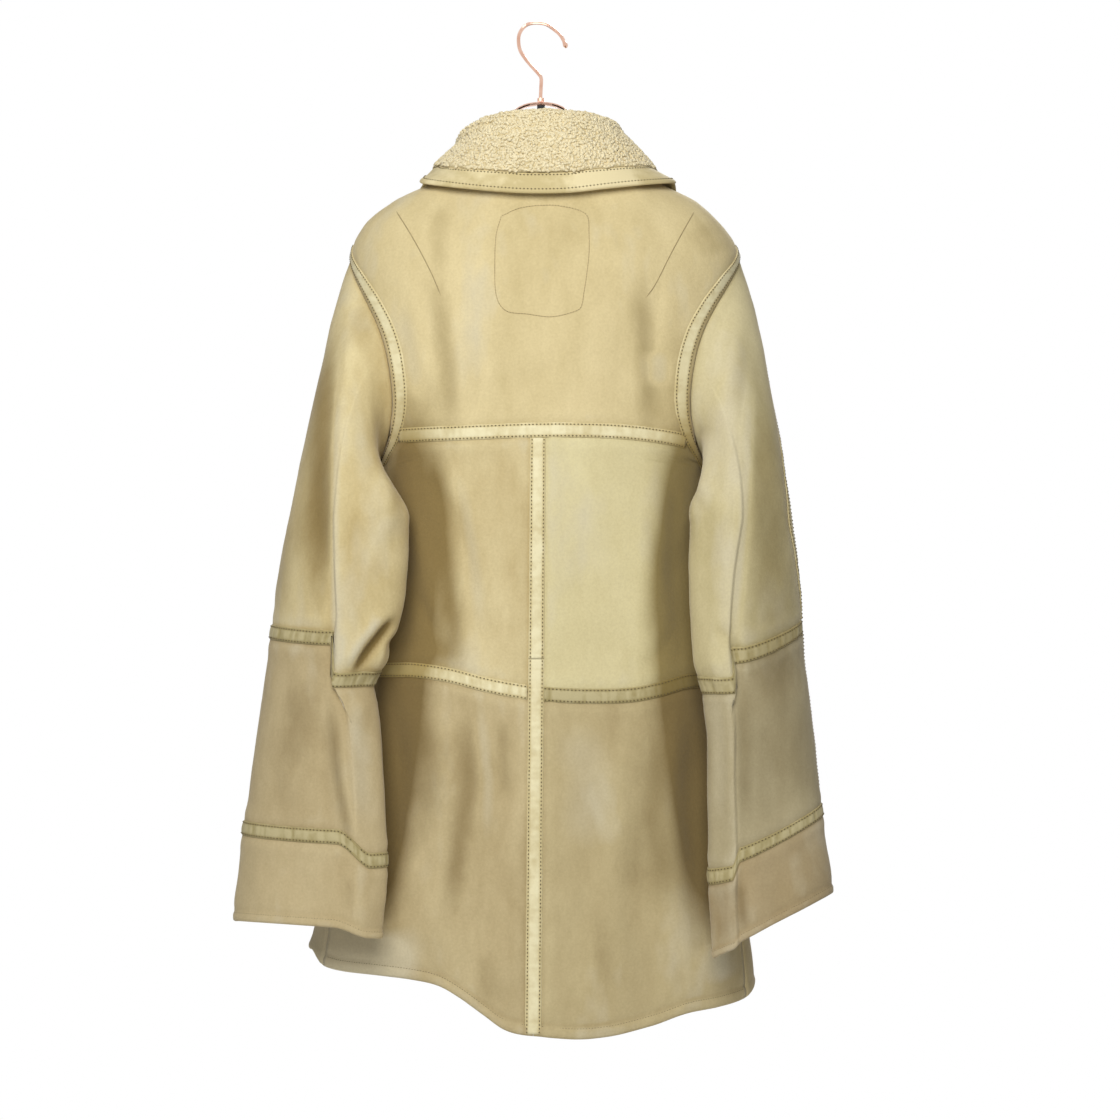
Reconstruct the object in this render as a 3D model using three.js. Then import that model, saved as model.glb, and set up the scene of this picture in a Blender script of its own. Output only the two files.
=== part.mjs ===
import * as THREE from "three";

// Shearling coat hung on a metal hanger. Millimetres, Z up, wearer's back toward -Y,
// wearer's right toward +X. The origin is the inner top of the hook's bend.

const wall = 4.6; // suede with its short pile inside
const sleeveWall = 3.6;
const seamGap = 0.3;
const stripWidth = 13.5;
const stripThickness = 1.5;
const stripLift = 0.45;
const exponent = 2.3;
const armTop = -232;
const armBottom = -440;
const overlapLift = wall + 3;

const rad = Math.PI / 180;
const vec = (x, y, z) => new THREE.Vector3(x, y, z);
const clamp = (v, lo, hi) => Math.min(hi, Math.max(lo, v));
const lerp = (a, b, t) => a + (b - a) * t;

function smooth(t) {
  const s = clamp(t, 0, 1);
  return s * s * (3 - 2 * s);
}

function bump(d, width) {
  return Math.exp(-(d * d) / (width * width));
}

// Smooth reading of a table whose first column rises or falls steadily
function readTable(rows, at) {
  const n = rows.length;
  const sign = rows[n - 1][0] > rows[0][0] ? 1 : -1;
  const v = at * sign;
  let i = 0;
  while (i < n - 2 && v > rows[i + 1][0] * sign) i += 1;
  const a = rows[i];
  const b = rows[i + 1];
  const h = b[0] - a[0];
  const t = clamp((at - a[0]) / h, 0, 1);
  const before = rows[Math.max(0, i - 1)];
  const after = rows[Math.min(n - 1, i + 2)];
  return a.slice(1).map((value, k) => {
    const c = k + 1;
    const step = b[c] - a[c];
    const slopeIn = i > 0 ? ((b[c] - before[c]) / (b[0] - before[0])) * h : step;
    const slopeOut = i < n - 2 ? ((after[c] - a[c]) / (after[0] - a[0])) * h : step;
    const t2 = t * t;
    const t3 = t2 * t;
    return (2 * t3 - 3 * t2 + 1) * a[c] + (t3 - 2 * t2 + t) * slopeIn
      + (3 * t2 - 2 * t3) * b[c] + (t3 - t2) * slopeOut;
  });
}

// Body rings: height, half width left, half width right, depth back, depth front
const bodyRings = [
  [-122, 66, 66, 52, 52],
  [-141, 85, 88, 60, 64],
  [-159, 109, 120, 66, 76],
  [-168, 130, 138, 70, 82],
  [-178, 150, 157, 75, 87],
  [-197, 175, 178, 83, 95],
  [-215, 186, 192, 90, 101],
  [-232, 190, 198, 96, 106],
  [-262, 190, 196, 102, 111],
  [-300, 186, 190, 107, 114],
  [-350, 180, 183, 110, 116],
  [-400, 169, 172, 111, 116],
  [-440, 161, 164, 111, 116],
  [-490, 160, 162, 111, 115],
  [-550, 163, 166, 111, 114],
  [-640, 176, 176, 112, 114],
  [-700, 187, 182, 113, 115],
  [-780, 200, 189, 114, 117],
  [-860, 216, 199, 115, 119],
  [-930, 233, 211, 116, 121],
  [-1000, 237, 214, 116, 122],
];
const bodyY = 8;

// Soft folds: top height, bottom height, x at top, x at bottom, half width, depth, side
const bodyFolds = [
  { top: -190, bottom: -420, x0: -76, x1: -80, width: 22, depth: 3.2, side: -1 },
  { top: -240, bottom: -420, x0: 98, x1: 112, width: 18, depth: 3.0, side: -1 },
  { top: -480, bottom: -640, x0: -92, x1: -58, width: 17, depth: 3.0, side: -1 },
  { top: -670, bottom: -950, x0: -46, x1: -52, width: 22, depth: 4.5, side: -1 },
  { top: -690, bottom: -960, x0: 106, x1: 104, width: 24, depth: 4.0, side: -1 },
  { top: -240, bottom: -560, x0: -96, x1: -88, width: 24, depth: 3.0, side: 1 },
  { top: -300, bottom: -640, x0: 104, x1: 92, width: 24, depth: 3.2, side: 1 },
  { top: -660, bottom: -960, x0: -112, x1: -126, width: 26, depth: 4.0, side: 1 },
  { top: -640, bottom: -950, x0: 112, x1: 128, width: 26, depth: 4.0, side: 1 },
];

function ringRadius(phi, z) {
  const [left, right, back, front] = readTable(bodyRings, z);
  const sn = Math.sin(phi * rad);
  const cs = Math.cos(phi * rad);
  const a = sn < 0 ? left : right;
  const b = cs > 0 ? back : front;
  const sum = Math.abs(sn / a) ** exponent + Math.abs(cs / b) ** exponent;
  return sum ** (-1 / exponent);
}

// Extra lift of the right front where it overlaps the left one
function overlapAt(phi) {
  return overlapLift * smooth((phi - 138) / 22);
}

function bodyPoint(phi, z, layer = 0) {
  let r = ringRadius(phi, z);
  const cs = Math.cos(phi * rad);
  const x = r * Math.sin(phi * rad);
  for (const f of bodyFolds) {
    if (f.side * cs > 0) continue;
    const t = (z - f.top) / (f.bottom - f.top);
    const along = smooth(t * 4) * (f.bottom < -900 ? 1 : smooth((1 - t) * 4));
    r -= f.depth * along * bump(x - lerp(f.x0, f.x1, clamp(t, 0, 1.2)), f.width) * Math.abs(cs);
  }
  if (layer === 1) r += overlapAt(phi);
  return vec(r * Math.sin(phi * rad), bodyY - r * cs, z);
}

function lifted(pointAt, u, v, du, dv, lift, flip) {
  const p = pointAt(u, v);
  if (lift === 0) return p;
  const a = pointAt(u + du, v).sub(pointAt(u - du, v));
  const b = pointAt(u, v + dv).sub(pointAt(u, v - dv));
  const n = b.cross(a).normalize();
  return p.addScaledVector(n, flip ? -lift : lift);
}

function bodyLifted(phi, z, lift, layer = 0) {
  const at = (u, v) => bodyPoint(u, v, layer);
  return lifted(at, phi, z, 0.4, -0.8, lift, false);
}

// A closed wall between an outer and an inner grid of points
function solidFromGrids(outer, inner, around) {
  const rows = outer.length;
  const cols = outer[0].length;
  const position = [];
  const index = [];
  const push = (grid) => grid.forEach((row) => row.forEach((p) => position.push(p.x, p.y, p.z)));
  push(outer);
  push(inner);
  const at = (side, j, i) => side * rows * cols + j * cols + (around ? i % cols : i);
  const quad = (a, b, c, d) => index.push(a, b, c, a, c, d);
  const spans = around ? cols : cols - 1;
  for (let i = 0; i < spans; i += 1) {
    for (let j = 0; j < rows - 1; j += 1) {
      quad(at(0, j, i), at(0, j + 1, i), at(0, j + 1, i + 1), at(0, j, i + 1));
      quad(at(1, j, i), at(1, j, i + 1), at(1, j + 1, i + 1), at(1, j + 1, i));
    }
    quad(at(0, 0, i), at(0, 0, i + 1), at(1, 0, i + 1), at(1, 0, i));
    const k = rows - 1;
    quad(at(0, k, i), at(1, k, i), at(1, k, i + 1), at(0, k, i + 1));
  }
  if (!around) {
    for (let j = 0; j < rows - 1; j += 1) {
      quad(at(0, j, 0), at(1, j, 0), at(1, j + 1, 0), at(0, j + 1, 0));
      const k = cols - 1;
      quad(at(0, j, k), at(0, j + 1, k), at(1, j + 1, k), at(1, j, k));
    }
  }
  return facingOut(position, index);
}

function facingOut(position, index) {
  let volume = 0;
  const p = (i) => vec(position[3 * i], position[3 * i + 1], position[3 * i + 2]);
  for (let i = 0; i < index.length; i += 3) {
    volume += p(index[i]).dot(p(index[i + 1]).cross(p(index[i + 2])));
  }
  if (volume < 0) index.reverse();
  const geometry = new THREE.BufferGeometry();
  geometry.setAttribute("position", new THREE.Float32BufferAttribute(position, 3));
  geometry.setIndex(index);
  return geometry;
}

const group = new THREE.Group();
const suede = new THREE.MeshStandardMaterial({ color: 0xd9c48f });
const smoothSuede = new THREE.MeshStandardMaterial({ color: 0xe8d8a8 });
const wool = new THREE.MeshStandardMaterial({ color: 0xeadfbc });
const copper = new THREE.MeshStandardMaterial({ color: 0xc98a6a });
const blackMetal = new THREE.MeshStandardMaterial({ color: 0x222226 });

function addNode(name, geometry, material) {
  const mesh = new THREE.Mesh(geometry, material);
  mesh.name = name;
  group.add(mesh);
}

// Armhole loop: angle 0 at the shoulder point, 90 on the back, 180 at the armpit
function armhole(theta) {
  const sn = Math.sin(theta * rad);
  const cs = Math.cos(theta * rad);
  const z = (armTop + armBottom) / 2 + ((armTop - armBottom) / 2) * cs;
  const spread = 18 + 7 * (1 - cs);
  const power = cs > 0 ? 1.5 : 0.9;
  const reach = spread * Math.abs(sn) ** power;
  return { z, turn: sn >= 0 ? reach : -reach };
}

// Angle of the armhole edge on the back (+1) or the front (-1) at a height
function armholeTurn(z, facing) {
  const mid = (armTop + armBottom) / 2;
  const cs = clamp((z - mid) / ((armTop - armBottom) / 2), -1, 1);
  return armhole(Math.acos(cs) / rad * facing).turn;
}

// Side edge of the back panels, measured as an angle from the centre back
function backSide(z, side) {
  if (z >= armTop) return side * lerp(90, 98, (z - armTop) / 110);
  if (z > armBottom) return side * (90 - armholeTurn(z, 1));
  const end = side < 0 ? 75 : 77;
  return side * lerp(90, end, smooth((armBottom - z) / 500));
}

function frontSide(z, side) {
  if (z > armBottom && z < armTop) return side * (90 - armholeTurn(z, -1));
  return backSide(z, side);
}

const centreBack = (z) => lerp(-1, -3.4, (z + 400) / -600);
const centreHalf = 3.5;
const armStripAngle = 5.2;

// Lines across the back, by angle from the centre back
const yokeLine = [[-70, -414], [-38, -412.5], [-10, -410.5], [15, -410], [39, -411.5], [59, -416.7], [70, -422]];
const waistLine = [
  [-90, -643], [-67, -642.5], [-55, -641.7], [-41, -646], [-26, -654.6], [-10, -661],
  [2, -663.8], [24, -665.9], [41, -665], [52, -660], [63, -653.4], [90, -652],
];
const hemLine = [
  [-180, -945], [-120, -940], [-90, -925], [-82, -922], [-75, -933.8], [-59, -937.3], [-50, -939.8],
  [-42, -944.8], [-35, -955.5], [-27, -971], [-18, -985], [-9, -990.5], [0, -992.5],
  [15, -995.1], [24, -994.6], [36, -990.7], [47, -984], [57, -974], [66, -971],
  [77, -967], [86, -960], [120, -948], [180, -945],
];
const neckLine = [
  [-180, -186], [-150, -172], [-120, -146], [-90, -130], [-45, -124], [0, -122],
  [45, -124], [90, -130], [120, -146], [150, -172], [180, -186],
];
const yokeZ = (phi) => readTable(yokeLine, phi)[0];
const waistZ = (phi) => readTable(waistLine, phi)[0];
const hemZ = (phi) => readTable(hemLine, phi > 180 ? phi - 360 : phi)[0];
const neckZ = (phi) => readTable(neckLine, phi > 180 ? phi - 360 : phi)[0];

// Columns across the back: fractions between an armhole side and the centre seam
function backPhi(column, z) {
  const side = column.side;
  const edge = backSide(z, side);
  const mid = centreBack(z);
  const start = edge - side * armStripAngle;
  const stop = mid + side * centreHalf;
  if (column.at === "edge") return edge - side * column.inset;
  if (column.at === "strip") return start;
  if (column.at === "centre") return mid + side * column.inset;
  return lerp(start, stop, column.at);
}

function backColumnList(side, edgeInset, centreInset) {
  const list = [{ side, at: "edge", inset: edgeInset }, { side, at: "strip" }];
  for (const f of [0.25, 0.5, 0.75, 1]) list.push({ side, at: f });
  if (centreInset !== null) list.push({ side, at: "centre", inset: centreInset });
  return list;
}

// Rows are heights by angle: a set distance from a line, or a share of the way between two
const below = (line, distance) => (phi) => line(phi) - distance;
const between = (top, bottom, share) => (phi) => lerp(top(phi), bottom(phi), share);

function betweenRows(top, bottom, count) {
  return Array.from({ length: count - 1 }, (_, k) => between(top, bottom, (k + 1) / count));
}

function settle(phiAt, row) {
  let z = row(0);
  let phi = 0;
  for (let k = 0; k < 14; k += 1) {
    phi = phiAt(z);
    z = row(phi);
  }
  return [phi, z];
}

function bodyPanel(columns, rows, phiAt, layer = 0, rollAt = () => 0) {
  const outer = [];
  const inner = [];
  for (const row of rows) {
    const a = [];
    const b = [];
    for (const column of columns) {
      const [phi, z] = settle((h) => phiAt(column, h), row);
      const roll = rollAt(phi, z);
      a.push(bodyLifted(phi, z, roll, layer));
      b.push(bodyLifted(phi, z, -wall - roll, layer));
    }
    outer.push(a);
    inner.push(b);
  }
  return solidFromGrids(outer, inner, false);
}

const half = seamGap / 2;
const gapAngle = half / 110 / rad;
const stripHalf = stripWidth / 2;
const hemRoll = (phi, z) => 1.2 * bump(z - hemZ(phi) - 6, 6);

const shoulderZ = () => armTop;
const armpitZ = () => armBottom;
const shoulderRows = [below(neckZ, half), ...betweenRows(neckZ, shoulderZ, 5), shoulderZ];

// Back of the body
const yokeColumns = [
  ...backColumnList(-1, gapAngle, 0),
  ...backColumnList(1, gapAngle, null).reverse(),
];
const yokeEdge = below(yokeZ, -stripHalf);
addNode("back_yoke", bodyPanel(yokeColumns, [
  ...shoulderRows, ...betweenRows(shoulderZ, yokeEdge, 5), yokeEdge, below(yokeZ, -half),
], backPhi), suede);

for (const [side, word] of [[-1, "left"], [1, "right"]]) {
  const columns = backColumnList(side, gapAngle, gapAngle);
  if (side > 0) columns.reverse();
  const panelTop = below(yokeZ, stripHalf);
  const panelBottom = below(waistZ, -stripHalf);
  addNode(`back_panel_${word}`, bodyPanel(columns, [
    below(yokeZ, half), panelTop, ...betweenRows(panelTop, panelBottom, 7), panelBottom,
    below(waistZ, -half),
  ], backPhi), suede);
  const skirtTop = below(waistZ, stripHalf);
  const skirtBottom = below(hemZ, -10);
  addNode(`back_skirt_${word}`, bodyPanel(columns, [
    below(waistZ, half), skirtTop, ...betweenRows(skirtTop, skirtBottom, 8), skirtBottom, hemZ,
  ], backPhi, 0, hemRoll), suede);
}

// Fronts: the wearer's right one laps over the left one
function frontPhi(column, z) {
  const start = frontSide(z, column.side);
  if (column.at === "edge") return start + column.side * column.inset;
  const first = start + column.side * armStripAngle;
  return lerp(first, column.end, column.at);
}

for (const [side, word, end] of [[-1, "left", -164], [1, "right", 196]]) {
  const columns = [{ side, at: "edge", inset: gapAngle, end }];
  const n = side > 0 ? 7 : 5;
  for (let k = 0; k <= n; k += 1) columns.push({ side, at: k / n, end });
  const frontBottom = below(hemZ, -10);
  addNode(`front_${word}`, bodyPanel(columns, [
    ...shoulderRows, ...betweenRows(shoulderZ, armpitZ, 5), armpitZ,
    ...betweenRows(armpitZ, frontBottom, 10), frontBottom, hemZ,
  ], frontPhi, side > 0 ? 1 : 0, hemRoll), suede);
}

// Strips on the body
function bodyStrip(rings, rollAt = () => 0) {
  const raised = (lift) => rings.map((row) => row.map(([phi, z]) => bodyLifted(phi, z, lift + rollAt(phi, z))));
  return solidFromGrids(raised(stripLift + stripThickness), raised(stripLift), false);
}

function acrossStrip(columns, line) {
  return bodyStrip([-stripHalf, 0, stripHalf].map((d) => (
    columns.map((column) => settle((h) => backPhi(column, h), below(line, d)))
  )));
}

const yokeStripColumns = yokeColumns.filter((c) => c.at !== "strip")
  .map((c) => (c.at === "edge" ? { ...c, inset: armStripAngle + 0.6 } : c));
addNode("yoke_strip", acrossStrip(yokeStripColumns, yokeZ), smoothSuede);
for (const [side, word] of [[-1, "left"], [1, "right"]]) {
  const columns = [
    { side, at: "edge", inset: 0.3 }, { side, at: "strip" },
    ...[0.25, 0.5, 0.75].map((at) => ({ side, at })), { side, at: "centre", inset: centreHalf + 0.35 },
  ];
  if (side > 0) columns.reverse();
  addNode(`waist_strip_${word}`, acrossStrip(columns, waistZ), smoothSuede);
}

const jointZ = -630;
function centreStrip(top, bottom, count, rollAt) {
  const rows = [top, ...betweenRows(top, bottom, count), bottom];
  return bodyStrip(rows.map((row) => [-centreHalf, 0, centreHalf].map((d) => (
    settle((h) => centreBack(h) + d, row)
  ))), rollAt);
}
addNode("centre_strip_upper", centreStrip(below(yokeZ, stripHalf + half), () => jointZ + half, 7), smoothSuede);
addNode("centre_strip_lower", centreStrip(() => jointZ - half, below(hemZ, -3), 16, hemRoll), smoothSuede);

// Strips around the armholes, on the body's side of the seam
function armholeStrip(side) {
  const count = 30;
  const grid = (lift) => [1.3, 5.2].map((width) => Array.from({ length: count }, (_, k) => {
    const theta = (k * 360) / count;
    const loop = armhole(theta);
    const cs = Math.cos(theta * rad);
    const end = smooth((Math.abs(cs) - 0.8) / 0.2);
    const turn = loop.turn + Math.sign(Math.sin(theta * rad)) * width * (1 - end);
    const z = loop.z + Math.sign(cs) * 2.2 * width * end;
    return bodyLifted(side * (90 - turn), z, lift + 0.35 + 0.7 * end);
  }));
  return solidFromGrids(grid(stripLift + stripThickness), grid(stripLift), true);
}
addNode("armhole_strip_left", armholeStrip(-1), smoothSuede);
addNode("armhole_strip_right", armholeStrip(1), smoothSuede);

// Sleeve rings: height, distance of the centre from x = 0, centre y, long and short half axes,
// turn of the long axis, drop of the inner part, rise of the outer edge, lift of both faces
const sleeveRings = {
  left: [
    [-496, 185, -68, 65, 46, 31, 0, 0, 0],
    [-535, 190, -69, 69, 45, 30, 8, 0, 0],
    [-564, 195, -70, 68, 44, 29, 24, 0, 0],
    [-589, 202, -71, 62, 41, 28, 40, 0, 0],
    [-609, 211, -71, 56, 37, 27, 45, 0, 0],
    [-638, 212, -72, 60, 36, 26, 36, 0, 0],
    [-671, 213, -73, 64, 36, 25, 24, 0, 0],
    [-720, 215, -76, 69, 35, 24, 18, 0, 0],
    [-775, 217, -80, 74, 34, 23, 24, 0, 0],
    [-804, 219, -83, 76, 33, 22, 26, 0, 0],
    [-829, 220, -85, 77, 32, 22, 22, 0, 0],
    [-865, 224, -87, 79, 31, 22, 14, 0, 3],
    [-888, 225, -88, 79, 31, 22, 9, 0, 5],
  ],
  right: [
    [-496, 193, -68, 53, 46, 31, 0, 0, 0],
    [-535, 195, -69, 57, 45, 30, 8, 0, 0],
    [-564, 197, -70, 58, 44, 29, 24, 2, 0],
    [-589, 200, -71, 57, 41, 28, 40, 4, 0],
    [-609, 205, -71, 53, 37, 27, 46, 6, 0],
    [-638, 207, -71, 53, 36, 26, 38, 7, 0],
    [-671, 210, -72, 54, 36, 25, 26, 9, 0],
    [-720, 213, -72, 57, 35, 24, 20, 12, 0],
    [-775, 216, -74, 58, 34, 23, 24, 16, 0],
    [-804, 218, -75, 59, 33, 22, 26, 19, 3],
    [-829, 219, -76, 60, 32, 22, 22, 23, 5],
    [-865, 223, -78, 63, 31, 22, 14, 28, 8],
    [-893, 225, -78, 64, 31, 22, 8, 31, 11],
  ],
};
const ridgeAngle = {
  left: [[-496, 92], [-609, 104], [-720, 114], [-815, 128], [-893, 132]],
  right: [[-496, 98], [-609, 104], [-720, 122], [-815, 122], [-893, 120]],
};
const capTurn = [[0, 0], [90, 75], [140, 110], [180, 142], [240, 182], [300, 250], [360, 360]];

function sleeveRing(side, theta, z) {
  const word = side < 0 ? "left" : "right";
  const [cx, cy, long, short, yaw, drop, rise, lift] = readTable(sleeveRings[word], z);
  const [ridge] = readTable(ridgeAngle[word], z);
  const th = ((theta % 360) + 360) % 360;
  const sn = Math.sin(th * rad);
  const cs = Math.cos(th * rad);
  const bulge = 1 + 0.1 * bump(th - ridge, 22) - 0.05 * bump(th - ridge - 36, 18);
  const u = long * cs;
  const v = short * sn * bulge * (sn < 0 ? 0.72 : 1);
  const ax = Math.cos(yaw * rad);
  const ay = Math.sin(yaw * rad);
  const step = th < 230 ? smooth((th - ridge + 16) / 32) : smooth((345 - th) / 100);
  return vec(side * (cx + u * ax - v * -ay), cy + u * ay - v * ax, z - drop * step + rise * cs + lift * Math.abs(sn));
}

const capEnd = -496;
function sleevePoint(side, theta, v) {
  if (v >= 1) return sleeveRing(side, theta, capEnd - (v - 1) * 100);
  const th = ((theta % 360) + 360) % 360;
  const [turn] = readTable(capTurn, th);
  const loop = armhole(turn);
  const start = bodyPoint(side * (90 - loop.turn), loop.z);
  const end = sleeveRing(side, th, capEnd);
  const reach = start.distanceTo(end);
  const facing = Math.sin(turn * rad);
  const low = (1 - Math.cos(turn * rad)) / 2;
  const flare = side < 0 ? 0.36 : 0.34;
  const out = vec(side * lerp(flare, 1.3, low), -0.45 * facing, lerp(-1, -0.55, low)).normalize();
  const down = sleeveRing(side, th, capEnd - 4).sub(end).normalize();
  const s = v;
  const s2 = s * s;
  const s3 = s2 * s;
  return start.multiplyScalar(2 * s3 - 3 * s2 + 1)
    .addScaledVector(out, (s3 - 2 * s2 + s) * reach * 0.9)
    .addScaledVector(end, 3 * s2 - 2 * s3)
    .addScaledVector(down, (s3 - s2) * reach * 0.9);
}

function sleeveLifted(side, theta, v, lift) {
  const at = (u, w) => sleevePoint(side, u, w);
  return lifted(at, theta, v, 1.5, 0.006, lift, side > 0);
}

const columnCount = 26;
const columnStep = 360 / columnCount;
const vOf = (z) => 1 + (capEnd - z) / 100;
const elbowV = vOf(-605);
const cuffV = vOf(-801);
const hemV = { left: vOf(-888), right: vOf(-893) };
const unit = 0.01; // one millimetre of height in the sleeve's own measure

// Seam down the outer side of each sleeve: the sleeve's own measure, angle on each sleeve
const outerSeam = [
  [0.08, -16, -10], [0.5, -16, 5], [0.8, -15, 34], [1, -14, 44], [1.35, -13, 33], [1.75, -12, 22],
  [2.05, -12, 12], [2.5, -12, 3], [3, -12, -3], [4.1, -12, -8],
];
const seamColumn = { left: -1, right: 1 };
const underColumn = columnCount / 2;

// Columns slide round the sleeve so that the seam column keeps to the outer seam above the elbow
function sleeveAngle(side, column, v) {
  const word = side < 0 ? "left" : "right";
  const angle = column * columnStep;
  const seamAngle = seamColumn[word] * columnStep;
  const slide = (readTable(outerSeam, v)[side < 0 ? 0 : 1] - seamAngle) * smooth((2 - v) / 0.3);
  const away = Math.abs(((angle - seamAngle + 540) % 360) - 180);
  return angle + slide * smooth(1 - away / 100);
}

function degreesFor(side, theta, v, distance) {
  const across = sleevePoint(side, theta + 2, v).distanceTo(sleevePoint(side, theta - 2, v)) / 4;
  return distance / across;
}

function sleevePart(side, values, thickness, lift = 0) {
  const angles = Array.from({ length: columnCount }, (_, k) => k * columnStep);
  const grid = (raised) => values.map((v) => angles.map((t) => sleeveLifted(side, t, v, raised)));
  return solidFromGrids(grid(lift), grid(lift - thickness), true);
}

// One half of an upper sleeve, between two seam columns
function sleeveHalf(side, values, first, last) {
  const columns = Array.from({ length: last - first + 1 }, (_, k) => first + k);
  const angleAt = (column, v) => {
    const theta = sleeveAngle(side, column, v);
    const inset = degreesFor(side, theta, v, half);
    if (column === first) return theta + inset;
    return column === last ? theta - inset : theta;
  };
  const grid = (lift) => values.map((v) => columns.map((c) => sleeveLifted(side, angleAt(c, v), v, lift)));
  return solidFromGrids(grid(0), grid(-sleeveWall), false);
}

for (const [side, word] of [[-1, "left"], [1, "right"]]) {
  const bandHalf = 6.4 * unit;
  const seam = half * unit;
  const upperValues = [
    0.006, 0.12, 0.26, 0.42, 0.58, 0.74, 0.88, 1, 1.16, 1.38, 1.62, 1.85, elbowV - bandHalf, elbowV - seam,
  ];
  const start = seamColumn[word];
  addNode(`sleeve_${word}_upper_back`, sleeveHalf(side, upperValues, start, underColumn), suede);
  addNode(`sleeve_${word}_upper_front`, sleeveHalf(
    side, upperValues, underColumn, start + columnCount,
  ), suede);
  addNode(`sleeve_${word}_forearm`, sleevePart(side, [
    elbowV + seam, elbowV + bandHalf, 2.35, 2.65, 3.0, 3.4, 3.75, cuffV - bandHalf, cuffV - seam,
  ], sleeveWall), suede);
  const hem = hemV[word];
  addNode(`sleeve_${word}_cuff`, sleevePart(side, [
    cuffV + seam, cuffV + bandHalf, cuffV + 0.32, hem - 0.16, hem,
  ], sleeveWall), suede);
  for (const [label, at] of [["elbow", elbowV], ["cuff", cuffV]]) {
    addNode(`${label}_strip_${word}`, sleevePart(
      side, [at - bandHalf, at, at + bandHalf], stripThickness, stripLift + stripThickness,
    ), smoothSuede);
  }
}

// Strip over the outer seam of each sleeve
function seamStrip(side, from, to, count) {
  const values = Array.from({ length: count + 1 }, (_, k) => lerp(from, to, k / count));
  const raised = (lift) => values.map((v) => [-stripHalf, 0, stripHalf].map((d) => {
    const theta = readTable(outerSeam, v)[side < 0 ? 0 : 1];
    return sleeveLifted(side, theta + degreesFor(side, theta, v, d), v, lift);
  }));
  return solidFromGrids(raised(1 + stripThickness), raised(1), false);
}

for (const [side, word] of [[-1, "left"], [1, "right"]]) {
  addNode(`outer_strip_${word}_upper`, seamStrip(side, 0.08, elbowV - 0.075, 14), smoothSuede);
  addNode(`outer_strip_${word}_lower`, seamStrip(side, elbowV + 0.075, cuffV - 0.075, 9), smoothSuede);
}

// Collar: a folded sheet from the neck seam up over the fold and down to its free edge
const collarHalf = { stand: 2.2, leaf: 3.4, band: 2.3 };
const collarFold = [
  [-170, 46, -150], [-120, 58, -116], [-90, 56, -103], [-45, 53, -97], [0, 50, -95.5],
  [45, 57, -96], [90, 65, -102], [120, 62, -116], [170, 46, -150],
];
const collarEdge = [
  [-170, 92, -236], [-150, 104, -218], [-120, 120, -186], [-90, 122, -160], [-70, 106, -164],
  [-45, 88, -173], [-20, 81, -178], [0, 79, -179], [20, 82, -178], [45, 92, -172],
  [70, 116, -164], [90, 133, -161], [120, 125, -186], [150, 106, -218], [170, 92, -236],
];
const bandStart = 0.86;
const bandGap = 0.003;

function collarPoint(phi, v) {
  const [foldR, foldZ] = readTable(collarFold, phi);
  const [edgeR, edgeZ] = readTable(collarEdge, phi);
  const seamZ = neckZ(phi) + 0.4;
  const seamR = ringRadius(phi, neckZ(phi)) - 3.1;
  const topR = phi < -90 || phi > 110 ? Math.min(foldR, seamR - 2) : foldR;
  let r;
  let z;
  if (v < 0.3) {
    const t = v / 0.3;
    r = lerp(seamR, topR - 1, smooth(t));
    z = lerp(seamZ, foldZ - 8, t);
  } else if (v < 0.5) {
    const t = ((v - 0.3) / 0.2) * Math.PI;
    r = topR + 6 - 7 * Math.cos(t);
    z = foldZ - 8 + 7 * Math.sin(t);
  } else {
    const t = (v - 0.5) / 0.5;
    r = lerp(topR + 13, edgeR, t) + 2 * Math.sin(Math.PI * t);
    z = lerp(foldZ - 8, edgeZ, t);
    const floor = ringRadius(phi, Math.min(z - 5, neckZ(phi))) + 6.5;
    const lap = phi > 0 ? overlapAt(phi) : overlapLift * smooth((-phi - 142) / 12);
    r = Math.max(r, floor + lap);
  }
  return vec(r * Math.sin(phi * rad), bodyY - r * Math.cos(phi * rad), z);
}

function collarPart(values, thicknessAt, lastPhi) {
  const columns = Array.from({ length: 35 }, (_, k) => lerp(-lastPhi, lastPhi, k / 34));
  const side = (sign) => values.map((v) => columns.map((phi) => {
    const at = (u, w) => collarPoint(u, w);
    return lifted(at, phi, v, 0.5, 0.004, sign * thicknessAt(v), false);
  }));
  return solidFromGrids(side(1), side(-1), false);
}

const collarValues = [0, 0.15, 0.3, 0.35, 0.4, 0.45, 0.5, 0.62, 0.74, bandStart - bandGap];
addNode("collar", collarPart(collarValues, (v) => (v < 0.3 ? collarHalf.stand : collarHalf.leaf), 166), wool);
addNode("collar_binding", collarPart([bandStart + bandGap, 0.93, 1], () => collarHalf.band, 166), smoothSuede);

// Round or flat rods along a path in the plane y = 0
function rod(path, count, sides, sectionAt) {
  const curve = new THREE.CatmullRomCurve3(path.map(([x, z]) => vec(x, 0, z)));
  const position = [];
  const index = [];
  for (let j = 0; j <= count; j += 1) {
    const p = curve.getPoint(j / count);
    const t = curve.getTangent(j / count);
    const n = vec(-t.z, 0, t.x);
    const { wide, deep } = sectionAt(j / count);
    for (let i = 0; i < sides; i += 1) {
      const a = (i * 2 * Math.PI) / sides;
      const q = p.clone().addScaledVector(n, wide * Math.cos(a)).add(vec(0, deep * Math.sin(a), 0));
      position.push(q.x, q.y, q.z);
    }
  }
  const at = (j, i) => j * sides + (i % sides);
  for (let j = 0; j < count; j += 1) {
    for (let i = 0; i < sides; i += 1) {
      index.push(at(j, i), at(j + 1, i), at(j + 1, i + 1), at(j, i), at(j + 1, i + 1), at(j, i + 1));
    }
  }
  for (let i = 1; i < sides - 1; i += 1) {
    index.push(at(0, 0), at(0, i), at(0, i + 1));
    index.push(at(count, 0), at(count, i + 1), at(count, i));
  }
  return facingOut(position, index);
}

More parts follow.
